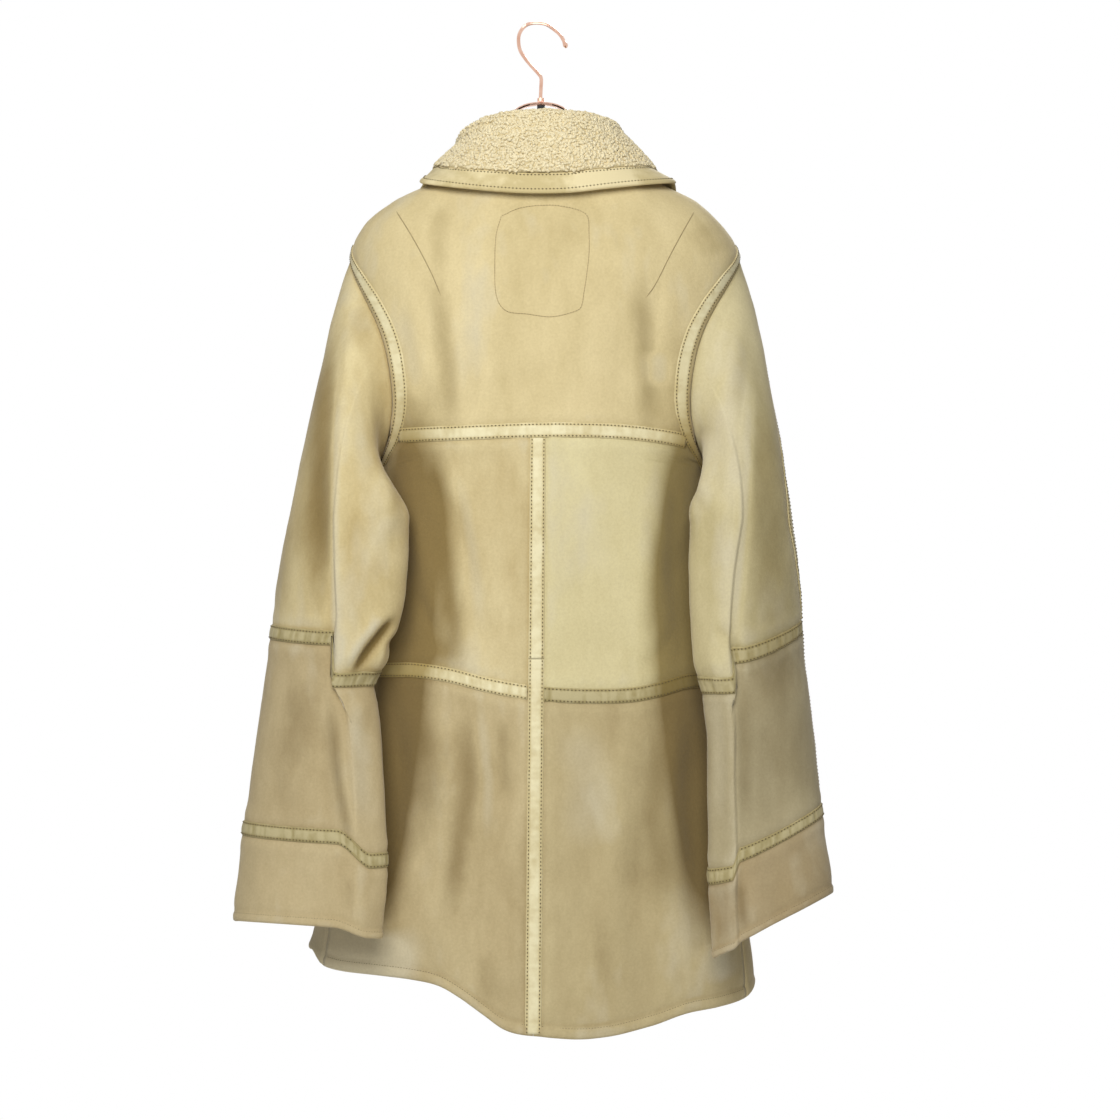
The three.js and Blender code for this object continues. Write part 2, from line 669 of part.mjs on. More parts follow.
const hookPath = [
  [-0.5, -73.3], [0, -62], [0, -52.5], [-2.8, -48.5], [-10.5, -40], [-16.6, -32.4], [-20.8, -25.5],
  [-22.4, -17.9], [-22, -10.2], [-18.9, -4.1], [-14.3, 0.1], [-8.2, 2], [-1.3, 2], [4.9, 0.8],
  [12.6, -4.1], [19.4, -10.2], [23.3, -17.1], [25.4, -23],
];
const hookRadius = 1.8;
const hookSection = (t) => {
  const ball = t > 0.94 ? 2.6 * Math.sqrt(Math.max(0.08, 1 - ((t - 0.97) / 0.031) ** 2)) : 0;
  const r = Math.max(t > 0.995 ? 0.9 : hookRadius, ball);
  return { wide: r, deep: r };
};
addNode("hanger_hook", rod(hookPath, 48, 8, hookSection), copper);

function upright(geometry, z) {
  geometry.rotateX(Math.PI / 2);
  geometry.translate(0, 0, z);
  return geometry;
}
addNode("hanger_ferrule", upright(new THREE.CylinderGeometry(3.8, 3.8, 3.2, 20), -75.1), copper);

const barPath = [
  [-166, -203], [-145, -189.8], [-110, -174], [-75, -154], [-52, -131], [-38, -101], [-25.8, -86.4], [-14, -80.4],
  [0, -78.9], [14, -80.4], [25.8, -86.4], [38, -101], [52, -131], [75, -154], [110, -174], [145, -190.8], [169, -203.6],
];
addNode("hanger_bar", rod(barPath, 40, 8, () => ({ wide: 1.9, deep: 5 })), copper);
addNode("hanger_nut", upright(new THREE.CylinderGeometry(4.5, 4.5, 4.4, 6), -83.4), blackMetal);

// Buttons down the overlapped front
function button() {
  const disc = new THREE.Shape();
  disc.absarc(0, 0, 12.5, 0, 2 * Math.PI);
  for (const [x, y] of [[3, 3], [-3, 3], [3, -3], [-3, -3]]) {
    const hole = new THREE.Path();
    hole.absarc(x, y, 1.3, 0, 2 * Math.PI, true);
    disc.holes.push(hole);
  }
  return new THREE.ExtrudeGeometry(disc, { depth: 3.4, bevelEnabled: false, curveSegments: 8 });
}

const buttonHeights = [-262, -372, -482, -592, -702];
buttonHeights.forEach((z, k) => {
  const phi = 182;
  const foot = bodyLifted(phi, z, 0.35, 1);
  const tip = bodyLifted(phi, z, 6, 1);
  const turn = new THREE.Quaternion().setFromUnitVectors(vec(0, 0, 1), tip.sub(foot).normalize());
  const geometry = button();
  geometry.applyQuaternion(turn);
  geometry.translate(foot.x, foot.y, foot.z);
  addNode(`button_${k + 1}`, geometry, smoothSuede);
});

export default group;
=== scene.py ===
import math
import bpy
import numpy as np
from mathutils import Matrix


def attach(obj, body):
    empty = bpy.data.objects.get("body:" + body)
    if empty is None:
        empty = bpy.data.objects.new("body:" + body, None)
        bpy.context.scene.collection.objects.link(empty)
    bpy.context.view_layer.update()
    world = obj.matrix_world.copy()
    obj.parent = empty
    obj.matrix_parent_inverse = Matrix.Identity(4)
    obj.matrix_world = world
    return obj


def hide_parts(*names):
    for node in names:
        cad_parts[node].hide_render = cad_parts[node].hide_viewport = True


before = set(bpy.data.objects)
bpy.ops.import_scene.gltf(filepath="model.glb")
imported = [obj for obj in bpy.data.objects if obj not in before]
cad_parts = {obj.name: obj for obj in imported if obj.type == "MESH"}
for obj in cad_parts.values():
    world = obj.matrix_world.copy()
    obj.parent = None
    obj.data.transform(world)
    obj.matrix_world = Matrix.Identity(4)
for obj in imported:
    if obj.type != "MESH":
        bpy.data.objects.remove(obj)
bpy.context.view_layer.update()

mm = 0.001

# Camera, light and floor
studio = {
    "distance": 2.6,          # camera to the hanger's plane
    "aimX": 0.019,
    "aimZ": -0.535,
    "viewWidth": 1.12,        # width of the frame at the hanger's plane
    "floorZ": -1.9,
    "keyPower": 58,
    "fillPower": 8,
    "frontPower": 40,
    "worldGrey": 0.15,
    "glossGrey": 0.9,         # what shiny metal sees round it
}


def makeStudio():
    cameraData = bpy.data.cameras.new("coatCamera")
    cameraData.sensor_width = 36
    cameraData.lens = 36 * studio["distance"] / studio["viewWidth"]
    camera = bpy.data.objects.new("coatCamera", cameraData)
    camera.location = (studio["aimX"], -studio["distance"], studio["aimZ"])
    camera.rotation_euler = (math.radians(90), 0, 0)
    bpy.context.collection.objects.link(camera)
    bpy.context.scene.camera = camera

    for name, place, size, power in (
        ("keyLight", (-0.25, -2.0, 0.9), 1.9, studio["keyPower"]),
        ("fillLight", (-0.3, -2.3, -1.1), 1.3, studio["fillPower"]),
        ("frontLight", (0.4, 2.2, 0.8), 1.2, studio["frontPower"]),
    ):
        light = bpy.data.lights.new(name, "AREA")
        light.size = size
        light.energy = power
        lamp = bpy.data.objects.new(name, light)
        lamp.location = place
        aim = np.array((0.0, 0.0, -0.45)) - np.array(place)
        lamp.rotation_euler = (
            math.atan2(math.hypot(aim[0], aim[1]), -aim[2]), 0, math.atan2(-aim[0], aim[1]))
        bpy.context.collection.objects.link(lamp)

    world = bpy.data.worlds.new("paleStudio")
    bpy.context.scene.world = world
    world.use_nodes = True
    tree = world.node_tree
    tree.nodes.clear()
    out = tree.nodes.new("ShaderNodeOutputWorld")
    seen = tree.nodes.new("ShaderNodeBackground")
    seen.inputs["Color"].default_value = (1, 1, 1, 1)
    seen.inputs["Strength"].default_value = 1.0
    lit = tree.nodes.new("ShaderNodeBackground")
    lit.inputs["Color"].default_value = (1, 0.985, 0.96, 1)
    path = tree.nodes.new("ShaderNodeLightPath")
    strength = tree.nodes.new("ShaderNodeMapRange")
    strength.inputs["To Min"].default_value = studio["worldGrey"]
    strength.inputs["To Max"].default_value = studio["glossGrey"]
    tree.links.new(path.outputs["Is Glossy Ray"], strength.inputs["Value"])
    tree.links.new(strength.outputs["Result"], lit.inputs["Strength"])
    pick = tree.nodes.new("ShaderNodeMixShader")
    tree.links.new(path.outputs["Is Camera Ray"], pick.inputs[0])
    tree.links.new(lit.outputs[0], pick.inputs[1])
    tree.links.new(seen.outputs[0], pick.inputs[2])
    tree.links.new(pick.outputs[0], out.inputs["Surface"])

    bpy.ops.object.select_all(action="DESELECT")
    bpy.ops.mesh.primitive_circle_add(
        vertices=64, radius=2.6, fill_type="NGON", location=(0, 0, studio["floorZ"]))
    floor = bpy.context.object
    floor.name = "floor"
    paint = bpy.data.materials.new("floorPaint")
    paint.use_nodes = True
    paint.node_tree.nodes["Principled BSDF"].inputs["Base Color"].default_value = (0.86, 0.86, 0.85, 1)
    paint.node_tree.nodes["Principled BSDF"].inputs["Roughness"].default_value = 0.9
    floor.data.materials.append(paint)

    bpy.context.scene.view_settings.view_transform = "Standard"


makeStudio()
print("studio ready")


# Small maths
def smoothStep(t):
    t = np.clip(t, 0, 1)
    return t * t * (3 - 2 * t)


def bell(distance, width):
    return np.exp(-(distance / width) ** 2)


def mix(a, b, t):
    return a + (b - a) * t


def readTable(rows, at):
    # smooth reading of every column of a table by its first one
    table = np.array(rows, float)
    if table[-1, 0] < table[0, 0]:
        table = table[::-1]
    key, values = table[:, 0], table[:, 1:]
    gaps = np.diff(key)
    slopes = np.diff(values, axis=0) / gaps[:, None]
    knots = np.empty_like(values)
    knots[0], knots[-1] = slopes[0], slopes[-1]
    knots[1:-1] = (values[2:] - values[:-2]) / (key[2:] - key[:-2])[:, None]
    at = np.clip(np.asarray(at, float), key[0], key[-1])
    i = np.clip(np.searchsorted(key, at) - 1, 0, len(key) - 2)
    h = gaps[i][..., None]
    t = ((at - key[i]) / gaps[i])[..., None]
    read = ((2 * t**3 - 3 * t**2 + 1) * values[i] + (t**3 - 2 * t**2 + t) * h * knots[i]
            + (3 * t**2 - 2 * t**3) * values[i + 1] + (t**3 - t**2) * h * knots[i + 1])
    return [read[..., k] for k in range(values.shape[1])]


def sideWord(side):
    return "left" if side < 0 else "right"


def sinD(angle):
    return np.sin(np.radians(angle))


def cosD(angle):
    return np.cos(np.radians(angle))


def unit(v):
    return v / np.maximum(np.linalg.norm(v, axis=-1, keepdims=True), 1e-9)


# The coat's own measures, in millimetres as in the solids
coat = {
    "wall": 4.6,
    "sleeveWall": 3.6,
    "centreY": 8,
    "roundness": 2.3,
    "armTop": -232,
    "armBottom": -440,
    "overlap": 7.6,
    "stripWidth": 14.4,
    "stripThickness": 1.5,
}

bodyRings = [  # height, half width left, half width right, depth back, depth front
    (-122, 66, 66, 52, 52), (-141, 85, 88, 60, 64), (-159, 109, 120, 66, 76),
    (-168, 130, 138, 70, 82), (-178, 150, 157, 75, 87), (-197, 175, 178, 83, 95),
    (-215, 186, 192, 90, 101), (-232, 190, 198, 96, 106),
    (-262, 190, 196, 102, 111), (-300, 186, 190, 107, 114), (-350, 180, 183, 110, 116),
    (-400, 169, 172, 111, 116), (-440, 161, 164, 111, 116), (-490, 160, 162, 111, 115),
    (-550, 163, 166, 111, 114), (-640, 176, 176, 112, 114), (-700, 187, 182, 113, 115),
    (-780, 200, 189, 114, 117), (-860, 216, 199, 115, 119), (-930, 233, 211, 116, 121),
    (-1000, 237, 214, 116, 122),
]

bodyFolds = [  # top, bottom, x at top, x at bottom, half width, depth, facing (-1 back, 1 front)
    (-190, -420, -76, -80, 22, 3.2, -1), (-240, -420, 98, 112, 18, 3.0, -1),
    (-480, -640, -92, -58, 17, 3.0, -1), (-670, -950, -46, -52, 22, 4.5, -1),
    (-690, -960, 106, 104, 24, 4.0, -1), (-240, -560, -96, -88, 24, 3.0, 1),
    (-300, -640, 104, 92, 24, 3.2, 1), (-660, -960, -112, -126, 26, 4.0, 1),
    (-640, -950, 112, 128, 26, 4.0, 1),
]

# degrees round the body from the middle of the back, height
yokeLine = [(-70, -414), (-38, -412.5), (-10, -410.5), (15, -410), (39, -411.5), (59, -416.7), (70, -422)]
waistLine = [(-90, -643), (-67, -642.5), (-55, -641.7), (-41, -646), (-26, -654.6), (-10, -661),
             (2, -663.8), (24, -665.9), (41, -665), (52, -660), (63, -653.4), (90, -652)]
hemLine = [(-180, -945), (-120, -940), (-90, -925), (-82, -922), (-75, -933.8), (-59, -937.3),
           (-50, -939.8), (-42, -944.8), (-35, -955.5), (-27, -971), (-18, -985), (-9, -990.5),
           (0, -992.5), (15, -995.1), (24, -994.6), (36, -990.7), (47, -984), (57, -974), (66, -971),
           (77, -967), (86, -960), (120, -948), (180, -945)]
neckLine = [(-180, -186), (-150, -172), (-120, -146), (-90, -130), (-45, -124), (0, -122),
            (45, -124), (90, -130), (120, -146), (150, -172), (180, -186)]


def wrap(phi):
    return np.where(phi > 180, phi - 360, phi)


def yokeZ(phi):
    return readTable(yokeLine, phi)[0]


def waistZ(phi):
    return readTable(waistLine, phi)[0]


def hemZ(phi):
    return readTable(hemLine, wrap(phi))[0]


def neckZ(phi):
    return readTable(neckLine, wrap(phi))[0]


def ringRadius(phi, z):
    left, right, back, front = readTable(bodyRings, z)
    sn, cs = sinD(phi), cosD(phi)
    n = coat["roundness"]
    across = np.abs(sn / np.where(sn < 0, left, right)) ** n
    deep = np.abs(cs / np.where(cs > 0, back, front)) ** n
    return (across + deep) ** (-1 / n)


def overlapAt(phi):
    return coat["overlap"] * smoothStep((phi - 138) / 22)


def bodyPoint(phi, z, layer=0):
    phi, z = np.broadcast_arrays(np.asarray(phi, float), np.asarray(z, float))
    r = ringRadius(phi, z)
    cs = cosD(phi)
    x = r * sinD(phi)
    for top, bottom, x0, x1, width, depth, facing in bodyFolds:
        t = (z - top) / (bottom - top)
        along = smoothStep(t * 4) * (1 if bottom < -900 else smoothStep((1 - t) * 4))
        dent = depth * along * bell(x - mix(x0, x1, np.clip(t, 0, 1.2)), width) * np.abs(cs)
        r = r - np.where(facing * cs > 0, 0, dent)
    if layer == 1:
        r = r + overlapAt(phi)
    return np.stack([r * sinD(phi), coat["centreY"] - r * cs, z], -1)


def surface(pointAt, u, v, du, dv, flip=False):
    # points and outward normals
    a = pointAt(u + du, v) - pointAt(u - du, v)
    b = pointAt(u, v + dv) - pointAt(u, v - dv)
    n = unit(np.cross(b, a))
    return pointAt(u, v), -n if flip else n


def bodySurface(phi, z, layer=0):
    return surface(lambda u, v: bodyPoint(u, v, layer), phi, z, 0.4, -0.8)


armMiddle = (coat["armTop"] + coat["armBottom"]) / 2
armHalf = (coat["armTop"] - coat["armBottom"]) / 2


def armhole(theta):
    # height of the seam, and how many degrees it stands off the side
    sn, cs = sinD(theta), cosD(theta)
    reach = (18 + 7 * (1 - cs)) * np.abs(sn) ** np.where(cs > 0, 1.5, 0.9)
    return armMiddle + armHalf * cs, np.where(sn >= 0, reach, -reach)


def armholeTurn(z, facing):
    angle = np.degrees(np.arccos(np.clip((z - armMiddle) / armHalf, -1, 1)))
    return armhole(angle * facing)[1]


def backSide(z, side, facing=1):
    above = mix(90, 98, (z - coat["armTop"]) / 110)
    within = 90 - armholeTurn(z, facing)
    below = mix(90, 75 if side < 0 else 77, smoothStep((coat["armBottom"] - z) / 500))
    return side * np.where(z >= coat["armTop"], above, np.where(z > coat["armBottom"], within, below))


def centreBack(z):
    return mix(-1, -3.4, (z + 400) / -600)


sleeveRings = {  # height, centre x, centre y, long, short, yaw, drop of the inner part, rise, lift
    "left": [
        (-496, 185, -68, 65, 46, 31, 0, 0, 0), (-535, 190, -69, 69, 45, 30, 8, 0, 0),
        (-564, 195, -70, 68, 44, 29, 24, 0, 0), (-589, 202, -71, 62, 41, 28, 40, 0, 0),
        (-609, 211, -71, 56, 37, 27, 45, 0, 0), (-638, 212, -72, 60, 36, 26, 36, 0, 0),
        (-671, 213, -73, 64, 36, 25, 24, 0, 0), (-720, 215, -76, 69, 35, 24, 18, 0, 0),
        (-775, 217, -80, 74, 34, 23, 24, 0, 0), (-804, 219, -83, 76, 33, 22, 26, 0, 0),
        (-829, 220, -85, 77, 32, 22, 22, 0, 0), (-865, 224, -87, 79, 31, 22, 14, 0, 3),
        (-888, 225, -88, 79, 31, 22, 9, 0, 5),
    ],
    "right": [
        (-496, 193, -68, 53, 46, 31, 0, 0, 0), (-535, 195, -69, 57, 45, 30, 8, 0, 0),
        (-564, 197, -70, 58, 44, 29, 24, 2, 0), (-589, 200, -71, 57, 41, 28, 40, 4, 0),
        (-609, 205, -71, 53, 37, 27, 46, 6, 0), (-638, 207, -71, 53, 36, 26, 38, 7, 0),
        (-671, 210, -72, 54, 36, 25, 26, 9, 0), (-720, 213, -72, 57, 35, 24, 20, 12, 0),
        (-775, 216, -74, 58, 34, 23, 24, 16, 0), (-804, 218, -75, 59, 33, 22, 26, 19, 3),
        (-829, 219, -76, 60, 32, 22, 22, 23, 5), (-865, 223, -78, 63, 31, 22, 12, 24, 8),
        (-893, 225, -78, 64, 31, 22, 5, 25, 11),
    ],
}
ridgeAngle = {  # height, degrees round the sleeve at which its inner half folds over
    "left": [(-496, 105), (-554, 111), (-604, 124), (-660, 133), (-744, 139), (-801, 137), (-893, 138)],
    "right": [(-496, 120), (-554, 129), (-604, 135), (-698, 136), (-794, 136), (-893, 138)],
}
stepWidth = {  # height, half the turn in which the seams drop, share of the drop spread outward
    "left": [(-496, 14, 0), (-590, 1.3, 0.1), (-640, 1.3, 0.1), (-720, 14, 0.1), (-893, 17, 0.1)],
    "right": [(-496, 14, 0.2), (-590, 1.3, 0.4), (-640, 1.3, 0.4), (-760, 4, 0.4), (-893, 5, 0.4)],
}
# degrees round the sleeve and round the armhole that belong together
capTurn = [(0, 0), (90, 75), (140, 110), (180, 142), (240, 182), (300, 250), (360, 360)]
capEnd = -496     # height at which the shoulder cap of the sleeve ends


def heightOf(v):
    # v is 0 at the armhole, 1 at the cap's end, then grows by 1 every 100 mm
    return capEnd - np.maximum(v - 1, 0) * 100


def sleeveRing(side, theta, z):
    word = sideWord(side)
    theta, z = np.broadcast_arrays(np.asarray(theta, float), np.asarray(z, float))
    cx, cy, long, short, yaw, drop, rise, lift = readTable(sleeveRings[word], z)
    ridge = readTable(ridgeAngle[word], z)[0]
    th = np.mod(theta, 360)
    sn, cs = sinD(th), cosD(th)
    bulge = 1 + 0.1 * bell(th - ridge, 22) - 0.05 * bell(th - ridge - 36, 18)
    u = long * cs
    v = short * sn * bulge * np.where(sn < 0, 0.72, 1)
    half, shared = readTable(stepWidth[word], z)
    outward = smoothStep((th - 20) / (ridge - 20))
    shareDown = mix(smoothStep((th - ridge + half) / (2 * half)), outward, shared)
    step = np.where(th < 230, shareDown, smoothStep((345 - th) / 100))
    return np.stack([side * (cx + u * cosD(yaw) + v * sinD(yaw)), cy + u * sinD(yaw) - v * cosD(yaw),
                     z - drop * step + rise * cs + lift * np.abs(sn)], -1)


def sleevePoint(side, theta, v):
    theta, v = np.broadcast_arrays(np.asarray(theta, float), np.asarray(v, float))
    lower = sleeveRing(side, theta, heightOf(v))
    th = np.mod(theta, 360)
    turn = readTable(capTurn, th)[0]
    z0, back = armhole(turn)
    start = bodyPoint(side * (90 - back), z0)
    end = sleeveRing(side, th, capEnd)
    reach = np.linalg.norm(end - start, axis=-1, keepdims=True)
    low = (1 - cosD(turn)) / 2
    flare = 0.36 if side < 0 else 0.34
    out = unit(np.stack([side * mix(flare, 1.3, low), -0.45 * sinD(turn), mix(-1, -0.55, low)], -1))
    down = unit(sleeveRing(side, th, capEnd - 4) - end)
    s = np.clip(v, 0, 1)[..., None]
    cap = (start * (2 * s**3 - 3 * s**2 + 1) + out * (s**3 - 2 * s**2 + s) * reach * 0.9
           + end * (3 * s**2 - 2 * s**3) + down * (s**3 - s**2) * reach * 0.9)
    return np.where((v >= 1)[..., None], lower, cap)


def sleeveSurface(side, theta, v):
    return surface(lambda a, b: sleevePoint(side, a, b), theta, v, 1.5, 0.006, side > 0)


def vOf(z):
    return 1 + (capEnd - z) / 100


elbowV, cuffV = vOf(-605), vOf(-796)
hemV = {"left": vOf(-888), "right": vOf(-887)}
# place down the sleeve, degrees round the left and the right sleeve
outerSeam = [(0.08, -16, -10), (0.5, -16, 5), (0.8, -15, 34), (1, -14, 44), (1.35, -13, 33),
             (1.75, -12, 22), (2.05, -12, 12), (2.5, -12, 3), (3, -12, -3), (4.1, -12, -8)]

# degrees round the neck, distance from its axis, height
collarFold = [(-170, 46, -150), (-120, 58, -116), (-90, 56, -103), (-45, 53, -97), (0, 50, -95.5),
              (45, 57, -96), (90, 65, -102), (120, 62, -116), (170, 46, -150)]
collarEdge = [
    (-170, 92, -236), (-150, 104, -218), (-120, 116, -178), (-104, 119, -160), (-90, 117, -155),
    (-80, 112, -157), (-68, 104, -164), (-45, 88, -173), (-20, 81, -178), (0, 79, -179),
    (20, 82, -178), (45, 92, -172), (68, 113, -164), (80, 121, -160), (90, 125, -158),
    (104, 125, -163), (120, 121, -178), (150, 106, -218), (170, 92, -236),
]
bandStart = 0.86


def collarPoint(phi, v):
    phi, v = np.broadcast_arrays(np.asarray(phi, float), np.asarray(v, float))
    foldR, foldZ = readTable(collarFold, phi)
    edgeR, edgeZ = readTable(collarEdge, phi)
    seamZ = neckZ(phi) + 0.4
    seamR = ringRadius(phi, neckZ(phi)) - 3.1
    topR = np.where((phi < -90) | (phi > 110), np.minimum(foldR, seamR - 2), foldR)
    a = v / 0.3
    b = (v - 0.3) / 0.2 * math.pi
    c = (v - 0.5) / 0.5
    rLeaf = mix(topR + 13, edgeR, c) + 2 * np.sin(math.pi * c)
    zLeaf = mix(foldZ - 8, edgeZ, c)
    lap = np.where(phi > 0, overlapAt(phi), coat["overlap"] * smoothStep((-phi - 142) / 12))
    floor = ringRadius(phi, np.minimum(zLeaf - 5, neckZ(phi))) + 6.5 + lap
    r = np.where(v < 0.3, mix(seamR, topR - 1, smoothStep(a)),
                 np.where(v < 0.5, topR + 6 - 7 * np.cos(b), np.maximum(rLeaf, floor)))
    z = np.where(v < 0.3, mix(seamZ, foldZ - 8, a), np.where(v < 0.5, foldZ - 8 + 7 * np.sin(b), zLeaf))
    return np.stack([r * sinD(phi), coat["centreY"] - r * cosD(phi), z], -1)


def collarSurface(phi, v):
    return surface(collarPoint, phi, v, 0.5, 0.004)


# Creases and the cloth's own unevenness
armpitCrease = ([(167, -452), (166, -492)], 10, 6.0)
backCreases = [  # points (x, z), half width, height: below zero is a trough
    ([(-132, -245), (-122, -300), (-100, -372), (-92, -405)], 9, 1.5),
    ([(-118, -262), (-108, -318), (-92, -372)], 10, -1.3),
    ([(-60, -205), (-62, -300), (-58, -400)], 13, 1.0),
    ([(88, -268), (94, -330), (102, -400)], 9, 1.3),
    ([(118, -252), (112, -300), (108, -352)], 8, -1.2),
    ([(70, -215), (80, -262)], 12, 0.9),
    ([(20, -345), (-26, -372), (-52, -366)], 12, -0.7),
    ([(-118, -428), (-96, -470), (-70, -520), (-52, -600)], 12, -2.0),
    ([(-96, -432), (-74, -484), (-50, -556), (-40, -630)], 11, 1.4),
    ([(-130, -470), (-112, -540), (-98, -612)], 10, 1.8),
    ([(-128, -560), (-104, -600), (-86, -638)], 8, -1.8),
    ([(136, -450), (130, -520), (128, -590)], 10, -2.0),
    ([(118, -446), (114, -520), (108, -600)], 12, 1.0),
    ([(132, -600), (118, -624), (96, -640)], 8, -1.4),
    ([(60, -470), (74, -560), (92, -630)], 14, -0.7),
    ([(-20, -500), (-24, -580), (-22, -640)], 14, 0.7),
    ([(-146, -500), (-142, -580), (-144, -660)], 18, -4.5),
    ([(144, -500), (140, -580), (140, -660)], 16, -5.5),
    armpitCrease,
    ([(-144, -668), (-138, -740), (-150, -860)], 15, -5.0),
    ([(-112, -672), (-100, -740), (-92, -830), (-110, -925)], 15, 2.3),
    ([(-76, -680), (-72, -760), (-84, -860), (-76, -930)], 12, -1.9),
    ([(-30, -700), (-24, -800), (-34, -900), (-20, -975)], 15, 1.3),
    ([(-152, -880), (-128, -905), (-104, -912)], 9, -1.0),
    ([(34, -700), (46, -800), (38, -900), (48, -985)], 18, -1.0),
    ([(86, -690), (72, -760), (66, -850), (84, -960)], 14, 1.9),
    ([(132, -672), (124, -740), (128, -830), (142, -930)], 12, 2.2),
    ([(150, -680), (148, -770), (158, -880)], 15, -5.0),
    ([(133, -920), (137, -950)], 4, -1.2),
    ([(176, -905), (182, -950)], 9, 1.0),
]
frontCreases = [
    armpitCrease,
    ([(-120, -260), (-104, -330), (-92, -420)], 12, 1.5),
    ([(122, -255), (104, -340), (88, -440)], 12, 1.5),
    ([(-60, -300), (-52, -420)], 14, -1.0), ([(70, -290), (60, -400)], 14, -1.0),
    ([(-134, -470), (-112, -560), (-98, -650)], 12, -1.6),
    ([(134, -480), (120, -560), (104, -640)], 12, -1.6),
    ([(-150, -660), (-140, -780), (-150, -900)], 14, 2.2),
    ([(150, -650), (140, -760), (152, -900)], 14, 2.0),
    ([(-70, -640), (-62, -760), (-74, -920)], 16, -1.8),
    ([(78, -660), (70, -780), (84, -930)], 16, -1.8),
    ([(-108, -600), (-96, -700), (-104, -820)], 12, 1.2),
    ([(110, -560), (98, -680), (108, -840)], 12, 1.4),
]
sleeveCreases = {  # on the side toward the back; points (x, z)
    "left": [
        ([(-190, -262), (-186, -330), (-190, -400), (-196, -470), (-197, -560), (-198, -600)], 9, 3.0),
        ([(-204, -300), (-208, -400), (-214, -500), (-216, -590)], 11, -1.8),
        ([(-168, -300), (-160, -360), (-158, -420), (-160, -480)], 11, -1.4),
        ([(-140, -420), (-146, -470), (-158, -520), (-166, -570)], 10, 1.3),
        ([(-136, -486), (-150, -492), (-163, -503)], 5, -1.2),
        ([(-138, -590), (-152, -606), (-165, -622), (-178, -641)], 4, -8.0),
        ([(-146, -582), (-160, -600), (-174, -618), (-186, -638)], 7, 4.0),
        ([(-144, -616), (-152, -632), (-166, -647)], 6, 2.6),
        ([(-228, -470), (-232, -540), (-238, -590)], 14, 0.9),
        ([(-240, -640), (-252, -700), (-262, -780)], 16, -1.0),
        ([(-197, -660), (-193, -716), (-186, -752), (-180, -790), (-176, -815)], 8, 3.0),
        ([(-212, -680), (-208, -740), (-200, -800)], 11, -1.8),
        ([(-170, -670), (-166, -730), (-168, -790)], 9, -1.5),
        ([(-190, -640), (-176, -668), (-164, -690)], 7, 1.2),
        ([(-178, -826), (-172, -860), (-170, -890)], 9, 2.0),
        ([(-226, -826), (-222, -868)], 14, -1.0),
    ],
    "right": [
        ([(196, -262), (190, -340), (184, -430), (178, -520), (174, -590)], 10, 2.6),
        ([(214, -320), (214, -400), (208, -480)], 11, -1.4),
        ([(168, -330), (160, -400), (156, -470), (160, -560)], 10, -1.6),
        ([(150, -440), (148, -500), (152, -560)], 9, 1.2),
        ([(160, -410), (157, -448), (154, -486)], 10, 7.0),
        ([(166, -596), (176, -606), (186, -622), (192, -640)], 6, -2.6),
        ([(160, -604), (166, -630), (174, -660)], 7, 1.6),
        ([(190, -650), (186, -710), (190, -780), (192, -840)], 8, 2.4),
        ([(212, -670), (222, -730), (226, -800)], 14, -1.2),
        ([(174, -670), (172, -740), (176, -830)], 8, -1.6),
        ([(240, -640), (244, -700), (252, -760)], 12, 1.2),
        ([(190, -850), (192, -890), (190, -915)], 8, 1.8),
        ([(226, -840), (234, -880)], 12, -1.0),
    ],
}

bodyShades = [  # points (x, z), half width, amount: below zero is painted shade in folds and beside the sleeves, above is paler, partly worn suede and partly painted light
    ([(-99, -180), (-97, -262)], 10, -0.35),
    ([(-101, -250), (-96, -300), (-89, -345), (-84, -430)], 11, -0.6),
    ([(-137, -284), (-127, -333), (-118, -386)], 10, 0.6),
    ([(95, -245), (98, -290), (101, -335), (108, -425)], 12, -0.55),
    ([(113, -330), (114, -369)], 12, 0.8),
    ([(140, -300), (128, -380)], 9, -0.3),
    ([(158, -202), (175, -238)], 14, -0.35),
    ([(-39, -209), (-36, -248)], 7, 0.35),
    ([(-128, -350), (-127, -500), (-124, -580), (-134, -650), (-142, -720), (-152, -800), (-166, -930)],
     24, -2.3),
    ([(-106, -410), (-95, -506), (-86, -574), (-78, -660)], 11, -0.8),
    ([(-118, -434), (-110, -496)], 8, 0.2),
    ([(-80, -440), (-66, -521), (-56, -612)], 7, 0.5),
    ([(-130, -618), (-78, -628)], 15, -0.5),
    ([(150, -350), (139, -500), (136, -580), (138, -660), (148, -740), (158, -830), (170, -930)],
     24, -2.4),
    ([(112, -500), (106, -617)], 8, -0.25),
    ([(40, -460), (52, -560)], 22, 0.25),
    ([(-108, -668), (-104, -747), (-122, -840)], 12, -0.5),
    ([(-73, -670), (-68, -747), (-80, -824), (-92, -891)], 10, -0.55),
    ([(-118, -760), (-112, -860)], 12, 0.35),
    ([(-60, -660), (-50, -747), (-52, -814)], 6, 0.55),
    ([(-36, -684), (-32, -766)], 6, -0.3),
    ([(-240, -880), (-190, -915), (-110, -925)], 26, 2.0),
    ([(118, -668), (160, -675)], 16, -0.7),
    ([(112, -690), (108, -780), (124, -880)], 14, -0.6),
    ([(28, -685), (48, -740), (40, -820)], 24, 0.55),
    ([(84, -760), (92, -860)], 12, -0.35),
    ([(58, -867), (63, -944)], 12, -0.2),
    ([(170, -905), (178, -950)], 16, 1.1),
    ([(-58, -911), (-39, -964)], 14, -0.25),
]
ridgeHeight = {  # height, how far the fold along the ridge stands out
    "left": [(-330, 0), (-420, 1.2), (-500, 2.0), (-590, 5.0), (-640, 5.0), (-700, 1.5), (-893, 0.6)],
    "right": [(-330, 0), (-430, 1.6), (-520, 2.6), (-600, 4.2), (-690, 3.4), (-893, 2.6)],
}
